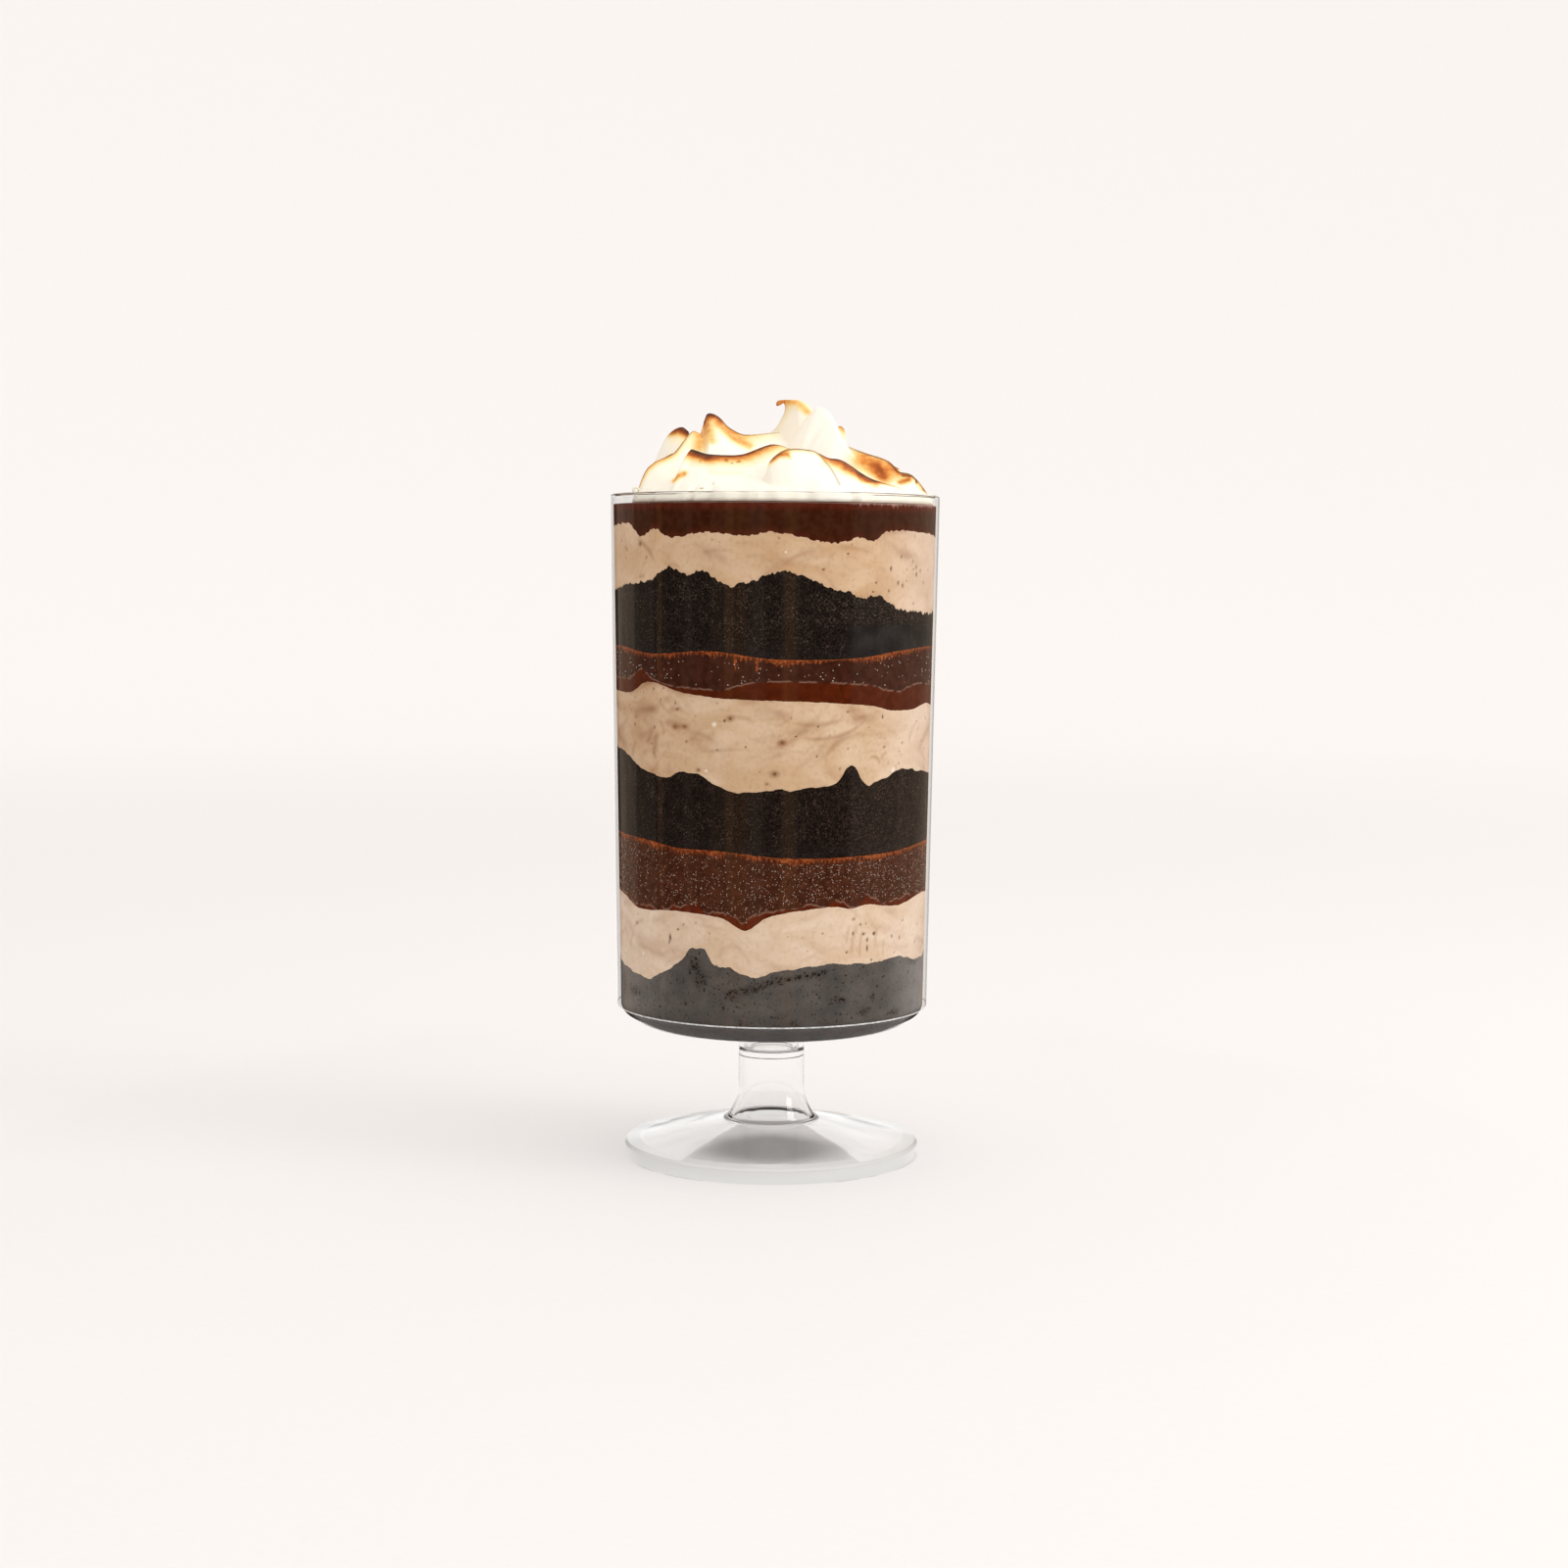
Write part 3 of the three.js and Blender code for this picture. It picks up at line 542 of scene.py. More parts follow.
def paintCakeBottom(azimuth, z):
    degrees, floor = signedDegrees(azimuth), 1 - smooth(z, *cakeFilm["floor"])
    fine, finer = wallNoise(z, 1.2, 3, 0.8), wallNoise(z, 2.6, 4, 0.7)
    broken = sum(spotMark(azimuth, z, pit[:2], *pit[2:]) for pit in cakeFilm["pits"])
    places, levels = zip(*cakeFilm["crumbLine"])
    inside = hump(degrees, places[0] - 2, places[0] + 1, places[-1] - 2, places[-1] + 2)
    thickness = 1.2 + 0.8 * smooth(-degrees, -10, 16)
    crumbs = inside * np.exp(-((z - np.interp(degrees, places, levels)) / thickness) ** 2)
    broken = np.clip(broken + 1.2 * crumbs, 0, 1.3)
    pit = np.maximum(smooth(fine + 0.6 * finer + 1.5 * broken, 2.1, 2.8) * smooth(z, 57, 60),
                     0.8 * smooth(fine + 0.3 * finer, 3.1, 3.6))
    patch = smooth(wallNoise(z, 9, 5, 0.7), -0.6, 1.2)
    specks = smooth(wallNoise(z, 1.2, 7), 1.8, 2.6) * floor
    # painted reflection and light: the film is paled towards both sides, most on the right
    pale = 0.34 * hump(-degrees, 30, 65, 110, 150) + 0.72 * hump(degrees, 40, 75, 110, 150)
    film = (1 - 0.4 * np.clip(broken, 0, 1)) * (1 - 0.65 * floor)
    fields = dict(film=film, crumbsAndLight=0.15 * patch * (1 - pit) + 0.8 * specks, pit=pit,
                  pale=pale * smooth(z, 56, 60))
    return fields, 0.5 * pit * smooth(z, 60, 62)


def paintCake(azimuth, z, filmAt, litCrumbsAt, seed):
    # film lies below a level inside some stretches of azimuth, (from, to, level, amount), and more crumbs
    # show in others, painted paler there as painted light from the right, (from, to, low, high, amount)
    degrees = signedDegrees(azimuth)
    fine, coarse = wallNoise(z, 1.1, seed), wallNoise(z, 3.2, seed + 1)
    film, litCrumbs = 0.3 * smooth(z[0] + 4 - z + coarse, -1, 1), np.zeros(z.shape)
    for start, end, level, amount in filmAt:
        within = amount * hump(degrees, start - 2, start + 2, end - 2, end + 2)
        film = np.maximum(film, within * smooth(level - z + 0.6 * coarse, -0.5, 0.5))
    # painted light: crumbs show paler in these stretches on the right, where the lamps fall
    for start, end, low, high, amount in litCrumbsAt:
        within = amount * hump(degrees, start - 8, start + 8, end - 8, end + 8)
        litCrumbs = np.maximum(litCrumbs, within * hump(z, low - 3, low + 3, high - 3, high + 3))
    bare = 1 - film
    crumbsAndLight = np.clip(0.12 + litCrumbs, 0, 1) * smooth(fine + 0.7 * coarse, 0.3, 2.2) * bare
    pit = smooth(0.8 * coarse - fine, 1.4, 2.6) * bare
    return dict(film=film, crumbsAndLight=crumbsAndLight, pit=0.8 * pit), 0.6 * pit + 0.25 * smooth(-fine, 0, 2) * bare


def paintMousse(azimuth, z, marks, seed):
    # strokes of the spatula in loose bundles, flecks of chocolate that lie along them and a few voids
    draw = np.random.default_rng(seed)
    low, high = z[0].min(), z[-1].max()
    swirlAndShade, fleck, air = (np.zeros(z.shape) for _ in range(3))
    for _ in range(marks["bundles"]):
        middle, level, tilt, bend = (draw.uniform(-180, 180), draw.uniform(low, high), draw.normal(0, 24),
                                     draw.normal(0, 1.6))
        for _ in range(draw.integers(2, 6)):
            place = (middle + draw.normal(0, 4), level + draw.normal(0, 2))
            length, turn, width = draw.uniform(8, 26), tilt + draw.normal(0, 6), draw.uniform(0.5, 2.0)
            mark = arcMark(azimuth, z, place, length, turn, bend, width)
            swirlAndShade += draw.uniform(0.08, marks["strength"]) * mark
    for middle, level, length, tilt, bend, width, amount in marks["arcs"]:
        swirlAndShade += amount * arcMark(azimuth, z, (middle, level), length, tilt, bend, width)
    for middle, level, radius, amount in marks["stains"]:
        swirlAndShade += amount * spotMark(azimuth, z, (middle, level), radius, 0.7)
        fleck = np.maximum(fleck, 0.8 * spotMark(azimuth, z, (middle, level), 0.3 * radius))
    for _ in range(marks["flecks"]):
        place, size = (draw.uniform(-180, 180), draw.uniform(low, high)), draw.uniform(0.22, 0.5)
        dark = draw.uniform(0.4, 0.9)
        fleck = np.maximum(fleck, dark * spotMark(azimuth, z, place, size, draw.uniform(0.6, 1.8)))
    for middle, level, size, stretch in marks["placedFlecks"]:
        fleck = np.maximum(fleck, spotMark(azimuth, z, (middle, level), size, stretch))
    for middle, level, size in marks["voids"]:
        air = np.maximum(air, spotMark(azimuth, z, (middle, level), size))
    # painted light: pale whitens both sides as a painted highlight, and shade adds painted shade to the
    # swirls on the left
    left, right = (hump(side * signedDegrees(azimuth), 30, 70, 110, 150) for side in (-1, 1))
    pale = marks["pale"][0] * left + marks["pale"][1] * right + np.zeros(z.shape)
    swirlAndShade = np.clip(swirlAndShade + marks["shade"] * left, 0, 0.85)
    return dict(swirlAndShade=swirlAndShade, fleck=fleck, air=air, pale=pale), 0.35 * fleck


# Marks in the mousse: arcs are strokes (azimuth, level, length, tilt, bend, width, amount), stains soft spots
# (azimuth, level, radius, amount), placedFlecks (azimuth, level, radius, stretch upwards) and voids (azimuth,
# level, radius). pale is a painted highlight that whitens both sides, and shade painted shade that browns the
# left.
mousseTop = dict(
    bundles=46, strength=0.16, flecks=90, pale=(0.08, 0.3), shade=0,
    arcs=[(-51, 232, 17, -38, 2, 0.9, 0.4), (-37, 225.7, 8, -8, 1, 0.6, 0.32), (-53, 222, 5, 10, 0, 0.9, 0.4),
          (20, 228, 9, 70, 2, 0.75, 0.2), (-20, 231, 14, 4, 1, 0.75, 0.2), (-6, 229, 10, -6, 1, 0.9, 0.16)],
    stains=[(-54, 233.7, 1.5, 0.6), (-63.7, 231.6, 0.9, 0.5)],
    placedFlecks=[(26, 230.5, 0.5, 0.6), (17, 224.8, 0.6, 0.5), (44.6, 225.3, 0.45, 2), (59.7, 225.8, 0.4, 2),
                  (60, 223.2, 0.45, 2), (63, 224.5, 0.4, 1.6), (48.5, 220.1, 0.4, 2), (51, 219.1, 0.4, 2),
                  (37.7, 220.1, 0.4, 1), (36.4, 216.8, 0.45, 0.7), (53.3, 220.8, 0.3, 1), (-69, 235, 0.4, 1),
                  (-65, 232.4, 0.4, 1), (57, 228, 0.3, 2), (66, 220, 0.35, 2)],
    voids=[(4, 231, 0.4), (-43, 219, 0.5)])
mousseMiddle = dict(
    bundles=70, strength=0.22, flecks=150, pale=(0, 0.28), shade=0.26,
    arcs=[(22, 166, 28, 12, -3, 0.75, 0.44), (16, 170, 24, 4, -2, 0.75, 0.32),
          (-11, 171, 12, -12, 1, 0.75, 0.32), (-46, 160, 13, 80, 1.5, 1.5, 0.48),
          (-49, 163, 9, 60, 1, 1.05, 0.32), (-43, 167, 8, -70, 1, 0.75, 0.28),
          (-34, 167.5, 9, 5, 0.6, 1.2, 0.44), (-36, 173.6, 9, 0, 0.5, 1.05, 0.32),
          (39, 155.6, 7, -30, 2, 0.6, 0.48), (43, 157, 5, 40, 1, 0.6, 0.4),
          (-25, 164, 14, -20, 1.5, 0.9, 0.24), (5, 158, 16, 12, 1.5, 0.75, 0.2),
          (60, 165, 12, 50, 2, 0.9, 0.24), (-60, 158, 8, 60, 1, 0.9, 0.28)],
    stains=[(-36.7, 167.4, 1.3, 0.7), (-32.6, 167.6, 1, 0.6), (-15, 171, 1.6, 0.7), (3.1, 162.6, 1.7, 0.8),
            (0.7, 151.2, 1.9, 0.8), (-27, 152, 1.2, 0.7), (-2, 147.6, 0.9, 0.6), (43, 160.2, 0.9, 0.6),
            (-35.6, 173.8, 0.9, 0.6), (30, 150, 0.9, 0.4)],
    placedFlecks=[(-17, 170.2, 0.5, 1), (8, 164.8, 0.4, 0.7), (26.9, 173.5, 0.35, 1), (42, 171.3, 0.35, 2),
                  (-9.5, 160.8, 0.35, 1), (15.5, 157.5, 0.35, 1)],
    voids=[(-20.8, 168.8, 0.8), (48, 151.4, 0.9), (-24, 151.8, 0.5)])
mousseBottom = dict(
    bundles=50, strength=0.18, flecks=110, pale=(0.24, 0.15), shade=0,
    arcs=[(31, 90, 14, 78, 1, 0.9, 0.36), (34, 88, 12, 84, 0.6, 0.6, 0.4), (28.5, 92, 9, 80, 0.5, 0.6, 0.32),
          (-15, 86, 12, 20, 4, 1.2, 0.24), (-10, 84, 9, -50, 2, 0.9, 0.2), (-58, 93, 10, 20, 1, 0.9, 0.32),
          (41, 90, 10, 84, 0.5, 0.75, 0.28), (-64, 86, 8, 60, 1, 0.9, 0.24), (45, 86, 8, 88, 0.5, 0.6, 0.24)],
    stains=[(-59.4, 92.9, 1, 0.5), (30.7, 97.5, 0.9, 0.6), (12.9, 86.6, 0.5, 0.6)],
    placedFlecks=[(-36.1, 92.9, 0.5, 0.8), (-39.8, 89.5, 0.5, 3), (30.6, 92.2, 0.35, 2),
                  (35.2, 91.7, 0.6, 0.8), (40.1, 91.5, 0.75, 1), (36.9, 89.4, 0.4, 2), (28, 85.4, 0.4, 1),
                  (36.9, 86.3, 0.4, 3), (39, 81.8, 0.45, 1), (56, 94.8, 0.35, 1), (18.5, 92.8, 0.3, 1),
                  (-30, 82, 0.3, 1)],
    voids=[(-55, 82, 0.5)])


def paintCustard(azimuth, z, skinTop, rustWidth, edgeAmount, seed):
    # rust hangs from the upper line in teeth and a few drips, and a pale edge runs along the skin's top
    teeth = np.clip(1 + 0.45 * closedNoise(2.5, 0.8, seed) + 0.4 * closedNoise(60, 9, seed + 1), 0.25, 2.6)
    depth = rustWidth * teeth + 4 * smooth(closedNoise(12, 2, seed + 2), 2.4, 3.0)
    below = z[-1] - z
    rust = (rustWidth > 0) * (1 - smooth(below, depth - 0.3, depth + 0.2))
    broken = smooth(closedNoise(14, 4, seed + 3), 0.1, 0.7)
    worn = smooth(closedNoise(20, 3, seed + 4), -1.3, 0.2)
    dark = 0.75 * broken * np.exp(-((below - 0.55 * depth) / 0.18) ** 2)
    skin = 1 - smooth(z, skinTop - 0.2, skinTop + 0.2)
    edge = edgeAmount * worn * np.exp(-((z - skinTop - 0.2) / 0.24) ** 2)
    return dict(rust=rust * (1 - dark), skin=skin * (1 - rust), edge=edge * (1 - rust)), np.zeros(z.shape)


custardSkin = dict(
    middle=[  # top of the middle custard's skin, as (azimuth, level)
        (-76, 183.8), (-62, 183.9), (-56, 187.2), (-53, 187.8), (-49, 184.9), (-43, 182.5), (-38, 181.9),
        (-26, 181.2), (-18, 180.9), (-13, 182.5), (-6, 184.1), (3, 184.4), (20, 184), (37, 182.8),
        (43, 180.9), (51, 180.1), (57, 181.8), (64, 182.8), (76, 181.9), (110, 183.5), (150, 182),
        (190, 184.5), (230, 182.5), (265, 184.5), (284, 183.8)],
    # where the bottom custard's skin is thicker, as (azimuth, rise, width)
    bumps=[(-28, 2.6, 3), (-12, 2.0, 6), (-3, 1.8, 4), (36, 1.6, 2), (50, 1.6, 4), (57, 1.2, 3)])


def paintCustardBottom(azimuth, z):
    thickness = np.clip(1.0 + 0.6 * closedNoise(30, 5, 61) + 0.12 * closedNoise(4, 1.5, 62), 0.15, 3)
    for place, rise, width in custardSkin["bumps"]:
        thickness += rise * np.exp(-((signedDegrees(azimuth) - place) / width) ** 2)
    return paintCustard(azimuth, z, z[0] + thickness, 1.3, 0.75, 63)


def skinLevel(azimuth):
    places, levels = zip(*custardSkin["middle"])
    degrees = (np.degrees(azimuth) - places[0]) % 360 + places[0]
    return np.interp(degrees, places, levels) + 0.12 * closedNoise(8, 1.5, 71)


def paintCustardMiddle(azimuth, z):
    return paintCustard(azimuth, z, np.maximum(skinLevel(azimuth), z[0] + 0.5), 1.1, 0.6, 72)


def paintCustardTop(azimuth, z):
    # a pale torn fringe of meringue along the top, and redder near both edges
    fields, inward = paintCustard(azimuth, z, z[0] - 1, 0, 0, 81)
    degrees, below = signedDegrees(azimuth), z[-1] - z
    torn = 0.12 + 0.88 * smooth(degrees, 20, 36) + 0.5 * smooth(-degrees, 100, 140)
    streaks = closedNoise(3.5, 0.8, 84) + 0.8 * closedNoise(30, 6, 85)
    reach = np.clip(0.35 + torn * (0.35 + 0.55 * streaks), 0.15, 2.2)
    fields["fringe"] = (0.35 + 0.35 * torn) * (1 - smooth(below, 0.15 * reach, reach))
    fields["skin"] = 0.8 * np.exp(-((below - 1.2) / 1.4) ** 2) + 0.5 * np.exp(-((z - z[0]) / 1.5) ** 2)
    return fields, inward


def makeBubbles(level, lower, upper, count, sizes, glintShare, seed):
    # flat twenty-sided beads pressed on the inside of the wall between two lines; their corners are those of
    # three golden rectangles at right angles
    draw = np.random.default_rng(seed)
    golden = (1 + 5 ** 0.5) / 2
    corners = np.array([[-1, golden, 0], [1, golden, 0], [-1, -golden, 0], [1, -golden, 0], [0, -1, golden],
                        [0, 1, golden], [0, -1, -golden], [0, 1, -golden], [golden, 0, -1], [golden, 0, 1],
                        [-golden, 0, -1], [-golden, 0, 1]]) / math.hypot(1, golden)
    sides = np.array([[0, 11, 5], [0, 5, 1], [0, 1, 7], [0, 7, 10], [0, 10, 11], [1, 5, 9], [5, 11, 4],
                      [11, 10, 2], [10, 7, 6], [7, 1, 8], [3, 9, 4], [3, 4, 2], [3, 2, 6], [3, 6, 8],
                      [3, 8, 9], [4, 9, 5], [2, 4, 11], [6, 2, 10], [8, 6, 7], [9, 8, 1]])
    index = draw.integers(0, len(lower), count)
    azimuth = azimuths(len(lower))[index]
    z = lower[index] + (upper[index] - lower[index]) * draw.uniform(0, 1, count)
    size = draw.uniform(*sizes, count)
    centre = ringAt(azimuth, cupInside(z) + layers["intoWall"] - 0.3 * size, z)
    out = ringAt(azimuth, 1.0, 0)
    along = np.cross((0, 0, 1), out)
    scaled = corners * size[:, None, None]
    points = centre[:, None] + scaled[..., :1] * along[:, None] + 0.8 * scaled[..., 1:2] * out[:, None]
    points[..., 2] += scaled[..., 2]
    faces = (np.arange(count)[:, None, None] * len(corners) + sides).reshape(-1, 3)
    # pale beads carry a painted glint of the trapped air; the rest are tan under custard
    paintedGlint = draw.uniform(0, 1, count) < glintShare
    tone = np.where(paintedGlint, draw.uniform(0.6, 1, count), draw.uniform(0, 0.3, count))
    name = "custard_bubbles_" + level
    material = bubbleMaterial(name.replace("_", " "), "#E0CFC0", "#9A5834")
    addPiece(name, "pudding_" + level, points.reshape(-1, 3), [faces], [material],
             {"tone": np.repeat(tone, len(corners))}, standsFor=False)


def makeLayers():
    seams = layerSeams()
    finishes = [  # from the floor up, with how each is painted
        (cakeMaterial("cocoa sponge with film", ("#1B1311", "#2B211D", "#433732", "#5E4A44"),
                      ("#4B4845", "#55504C", "#5E5853", "#2C2624")), paintCakeBottom),
        (mousseMaterial("chocolate mousse, bottom", "#E6CDB6", "#D9BB9E", "#A87F62", "#5B3D2C"),
         lambda a, z: paintMousse(a, z, mousseBottom, 101)),
        (custardMaterial("chocolate custard, bottom", ("#3A1C10", "#4E2A1B"), ("#4E1A0A", "#64270F"),
                         "#9C5A36"),
         paintCustardBottom),
        (cakeMaterial("cocoa sponge, middle", ("#0C0807", "#19120F", "#2E221D", "#55433A"),
                      ("#161313", "#1F1B1A", "#2A2523", "#120F0E")),
         lambda a, z: paintCake(a, z, [], [(25, 85, 120, 150, 0.3)], 13)),
        (mousseMaterial("chocolate mousse, middle", "#DDBFA1", "#CFAC89", "#9A6B49", "#50301F"),
         lambda a, z: paintMousse(a, z, mousseMiddle, 102)),
        (custardMaterial("chocolate custard, middle", ("#34180E", "#45241A"), ("#461705", "#56200A"),
                         "#9C5A36"),
         paintCustardMiddle),
        (cakeMaterial("cocoa sponge, top", ("#0C0807", "#18120F", "#2C211C", "#574840"),
                      ("#141313", "#1E1C1C", "#2B2828", "#100E0E")),
         lambda a, z: paintCake(a, z, [(26, 80, 204.6, 0.9)], [(15, 80, 205, 215, 0.5)], 17)),
        (mousseMaterial("chocolate mousse, top", "#D8B797", "#CAA47E", "#98694A", "#4A2F20"),
         lambda a, z: paintMousse(a, z, mousseTop, 103)),
        (custardMaterial("chocolate custard, top", ("#341507", "#40200F"), ("#4E1A0E", "#5E2417"), "#C9A193"),
         paintCustardTop)]
    for name, lower, upper, finish in zip(layerOrder, seams, seams[1:], finishes):
        makeLayer(name, lower, upper, *finish)
    makeBubbles("bottom", seams[2] + 2.6, seams[3] - 2.2, 5200, (0.08, 0.2), 0.6, 5)
    skin = skinLevel(azimuths(layers["steps"]))
    makeBubbles("middle", skin + 0.6, seams[6] - 2, 260, (0.14, 0.3), 0.7, 6)
    print("layers made")


meringue = dict(
    steps=480, rings=190, rimZ=252.6, baseZ=249.1, edge=60.2, roll=5.0, dome=12.0,
    bays=[(-88, 38, 6.5), (-50, 2.5, 2.0), (-31, 2.2, 2.6), (-24, 3, 1.5), (-8, 5, 0.8), (12, 4, 0.9),
          (29, 3, 1.4), (138, 14, 2.5), (200, 22, 3.5)],  # (azimuth, half width, depth)
    folds=0.7, crease=1.2, crestRound=0.4)

# Spoon strokes: a crest through points (x, y, height above the rim); to its left and its right the surface
# falls by drop at a distance of reach, hollow where bend is below 1; caps is how much steeper its ends are.
# toast is how brown the crest is from its start to its end, and spread how far below it the brown reaches
# on each side; burnt is how dark the thin line along the crest is, from its start to its end.
strokes = [
    dict(crest=[(-54, -22, 0), (-50.8, -21, 5.7), (-45, -19, 11.7), (-40.5, -17, 13.9), (-37.2, -15, 15.8),
                (-34, -11, 20.3), (-31, -8, 23.7), (-28.5, -6, 23)],
         left=(20, 9, 0.9), right=(15, 14, 0.7), caps=(1, 2.2), spread=(2, 1.6),
         toast=(0.3, 0.55, 0.6, 0.4, 0.25, 0.1), burnt=(0.4, 0.7, 0.8, 0.7, 0.6, 0)),
    dict(crest=[(-47, 16, 12), (-43.8, 16, 19), (-41.5, 16, 23), (-38.7, 16, 25.5), (-35.8, 16, 26.3),
                (-33.6, 16, 24.8)],
         left=(16, 9, 1.4), right=(16, 9, 1.4), caps=(2, 3.5), spread=(3.5, 3.5),
         toast=(0, 0, 0.1, 0.45, 0.75, 0.9), burnt=(0, 0.1, 0.3, 0.5, 0.8, 0.9)),
    dict(crest=[(-26.6, 2, 28), (-25, 2, 30.6), (-22.8, 2, 30.8), (-20.3, 2.5, 29.2), (-17.8, 3, 26),
                (-13.5, 4, 23.5), (-9.8, 5, 23.1), (-3.3, 7, 23.8), (2.3, 9, 24.5)],
         left=(20, 10, 1.2), right=(15, 20, 0.85), caps=(3, 1), spread=(4, 3),
         toast=(0.75, 0.8, 0.75, 0.6, 0.55, 0.4, 0.2, 0.1), burnt=(0.8, 0.9, 0.9, 0.8, 0.5, 0.3)),
    dict(crest=[(-30.5, -30, 16), (-28.2, -31, 15.2), (-24.5, -33, 14.1), (-17.3, -34, 13.7),
                (-13.7, -33, 13.9), (-10.2, -31, 14.7), (-3, -28, 17.6), (0.6, -26, 18), (6, -21, 16.5)],
         left=(9, 7, 0.7), right=(16, 17, 1.35), caps=(5, 1.5), spread=(1.5, 2.6),
         toast=(0.85, 0.9, 0.85, 0.8, 0.7, 0.5, 0.3), burnt=(0.5, 0.9, 0.9, 0.8, 0.9, 0.9, 0.8)),
    dict(crest=[(-1.8, -46.5, 11), (0, -46, 13), (3.3, -45, 15.2), (6.9, -44, 15.8), (11.3, -42.5, 15.6),
                (14.9, -42, 14.8), (18.5, -42.5, 11.5), (22, -46, 5.5), (24, -49, 1)],
         left=(10, 8, 0.9), right=(15, 12, 1.4), caps=(3, 1), spread=(1, 1.2),
         toast=(0.45, 0.5, 0.35, 0.3, 0.3, 0.15, 0.05), burnt=(0.3, 0.5, 0.8, 0.9, 0.7, 0.6, 0.5)),
    dict(crest=[(11, -40, 14.5), (15, -38, 14.7), (19.5, -36, 12.9), (23.6, -34, 12.4), (27.6, -32, 10.4),
                (32, -31, 7.5), (37, -30, 5), (45, -29, 2.5)],
         left=(10, 8, 0.7), right=(13, 16, 1.3), caps=(1.5, 1), spread=(1.5, 3.2),
         toast=(0.4, 0.7, 0.85, 0.9, 0.9, 0.75, 0.35), burnt=(0.7, 0.8, 0.8, 0.8, 0.7, 0.3)),
    dict(crest=[(-2, 12, 24.2), (0.5, 12, 26.5), (2.7, 12, 30.5), (5, 12, 35.8), (8, 12, 42), (10, 12, 44.4),
                (11.6, 12.5, 41.8), (12.6, 13, 37), (13.2, 13, 31), (14, 14, 25)],
         left=(24, 9, 1.3), right=(20, 10, 1.3), caps=(1.5, 1.5), spread=(5, 5),
         toast=(0.05, 0.1, 0.15, 0.25, 0.38, 0.4, 0.36, 0.3),
         burnt=(0.1, 0.3, 0.4, 0.45, 0.5, 0.35, 0.45, 0.6)),
    dict(crest=[(14, 7, 30), (15.2, 5, 32.7), (16.7, 4, 33.6), (19.9, 1, 31.8), (21.8, -2, 27.9),
                (24, -5, 23.2), (27.5, -8, 17.6), (30, -12, 13.8), (32.5, -16, 10), (35.5, -18, 6.3),
                (42, -22, 2)],
         left=(16, 8, 1.3), right=(12, 10, 1.3), caps=(1.6, 1), spread=(3, 3),
         toast=(0.03, 0, 0, 0, 0), burnt=(0, 0)),
    dict(crest=[(22.5, 14, 26.4), (24.9, 14, 27), (26, 14, 26.2)],
         left=(16, 7, 1.6), right=(16, 7, 1.6), caps=(1.5, 3), spread=(3, 3),
         toast=(0.3, 0.45, 0.5), burnt=(0.2, 0.4, 0.6)),
    dict(crest=[(25, 5, 20), (31.2, 1, 17.4), (34.9, 0, 16), (38.6, -1, 14.9), (42.3, -2, 13.5),
                (44.4, -3, 11.9), (46.9, -4, 9.2), (50.5, -5, 8.4), (53.3, -5, 6.4), (59, -6, 0)],
         left=(12, 9, 0.9), right=(10, 11, 1.4), caps=(1, 1), spread=(3, 2),
         toast=(0.2, 0.25, 0.25, 0.35, 0.55, 0.6, 0.4, 0.5), burnt=(0.3, 0.8, 0.8, 0.6, 0.9, 0.9, 0.5)),
    dict(crest=[(-46, 30, 3), (-38, 34, 9), (-28, 36, 14), (-18, 34, 18), (-12, 30, 19)],
         left=(16, 15, 1.5), right=(12, 10, 0.8), caps=(1, 1), spread=(3, 1.5),
         toast=(0.3, 0.5, 0.7, 0.85, 0.9), burnt=(0.5, 0.8)),
    dict(crest=[(-14, 48, 4), (-4, 46, 9), (6, 43, 14), (16, 37, 18), (24, 29, 20)],
         left=(15, 13, 1.6), right=(11, 9, 0.8), caps=(1, 1), spread=(3, 1.5),
         toast=(0.2, 0.6, 0.8, 0.7, 0.9), burnt=(0.5, 0.8)),
    dict(crest=[(28, 42, 5), (36, 34, 10), (43, 22, 13), (47, 10, 11)],
         left=(9, 9, 0.8), right=(13, 14, 1.5), caps=(1, 1), spread=(1.5, 2.6),
         toast=(0.3, 0.7, 0.8, 0.5), burnt=(0.5, 0.8, 0.6))]

# Tips that curl over, as (x, y), width, level, top, side and turn: above level the peak round (x, y) bends
# towards a side, by turn degrees at its top.
curls = [
    ((8, 12), 15, 31.4, 44.6, (-1, -0.1), 148),
    ((-23, 2), 9, 22, 31, (-1, -0.3), 14),
    ((-13, 31), 10, 10, 19, (1, 0.5), 60),
    ((23, 30), 10, 11, 20, (0.4, -1), 60)]
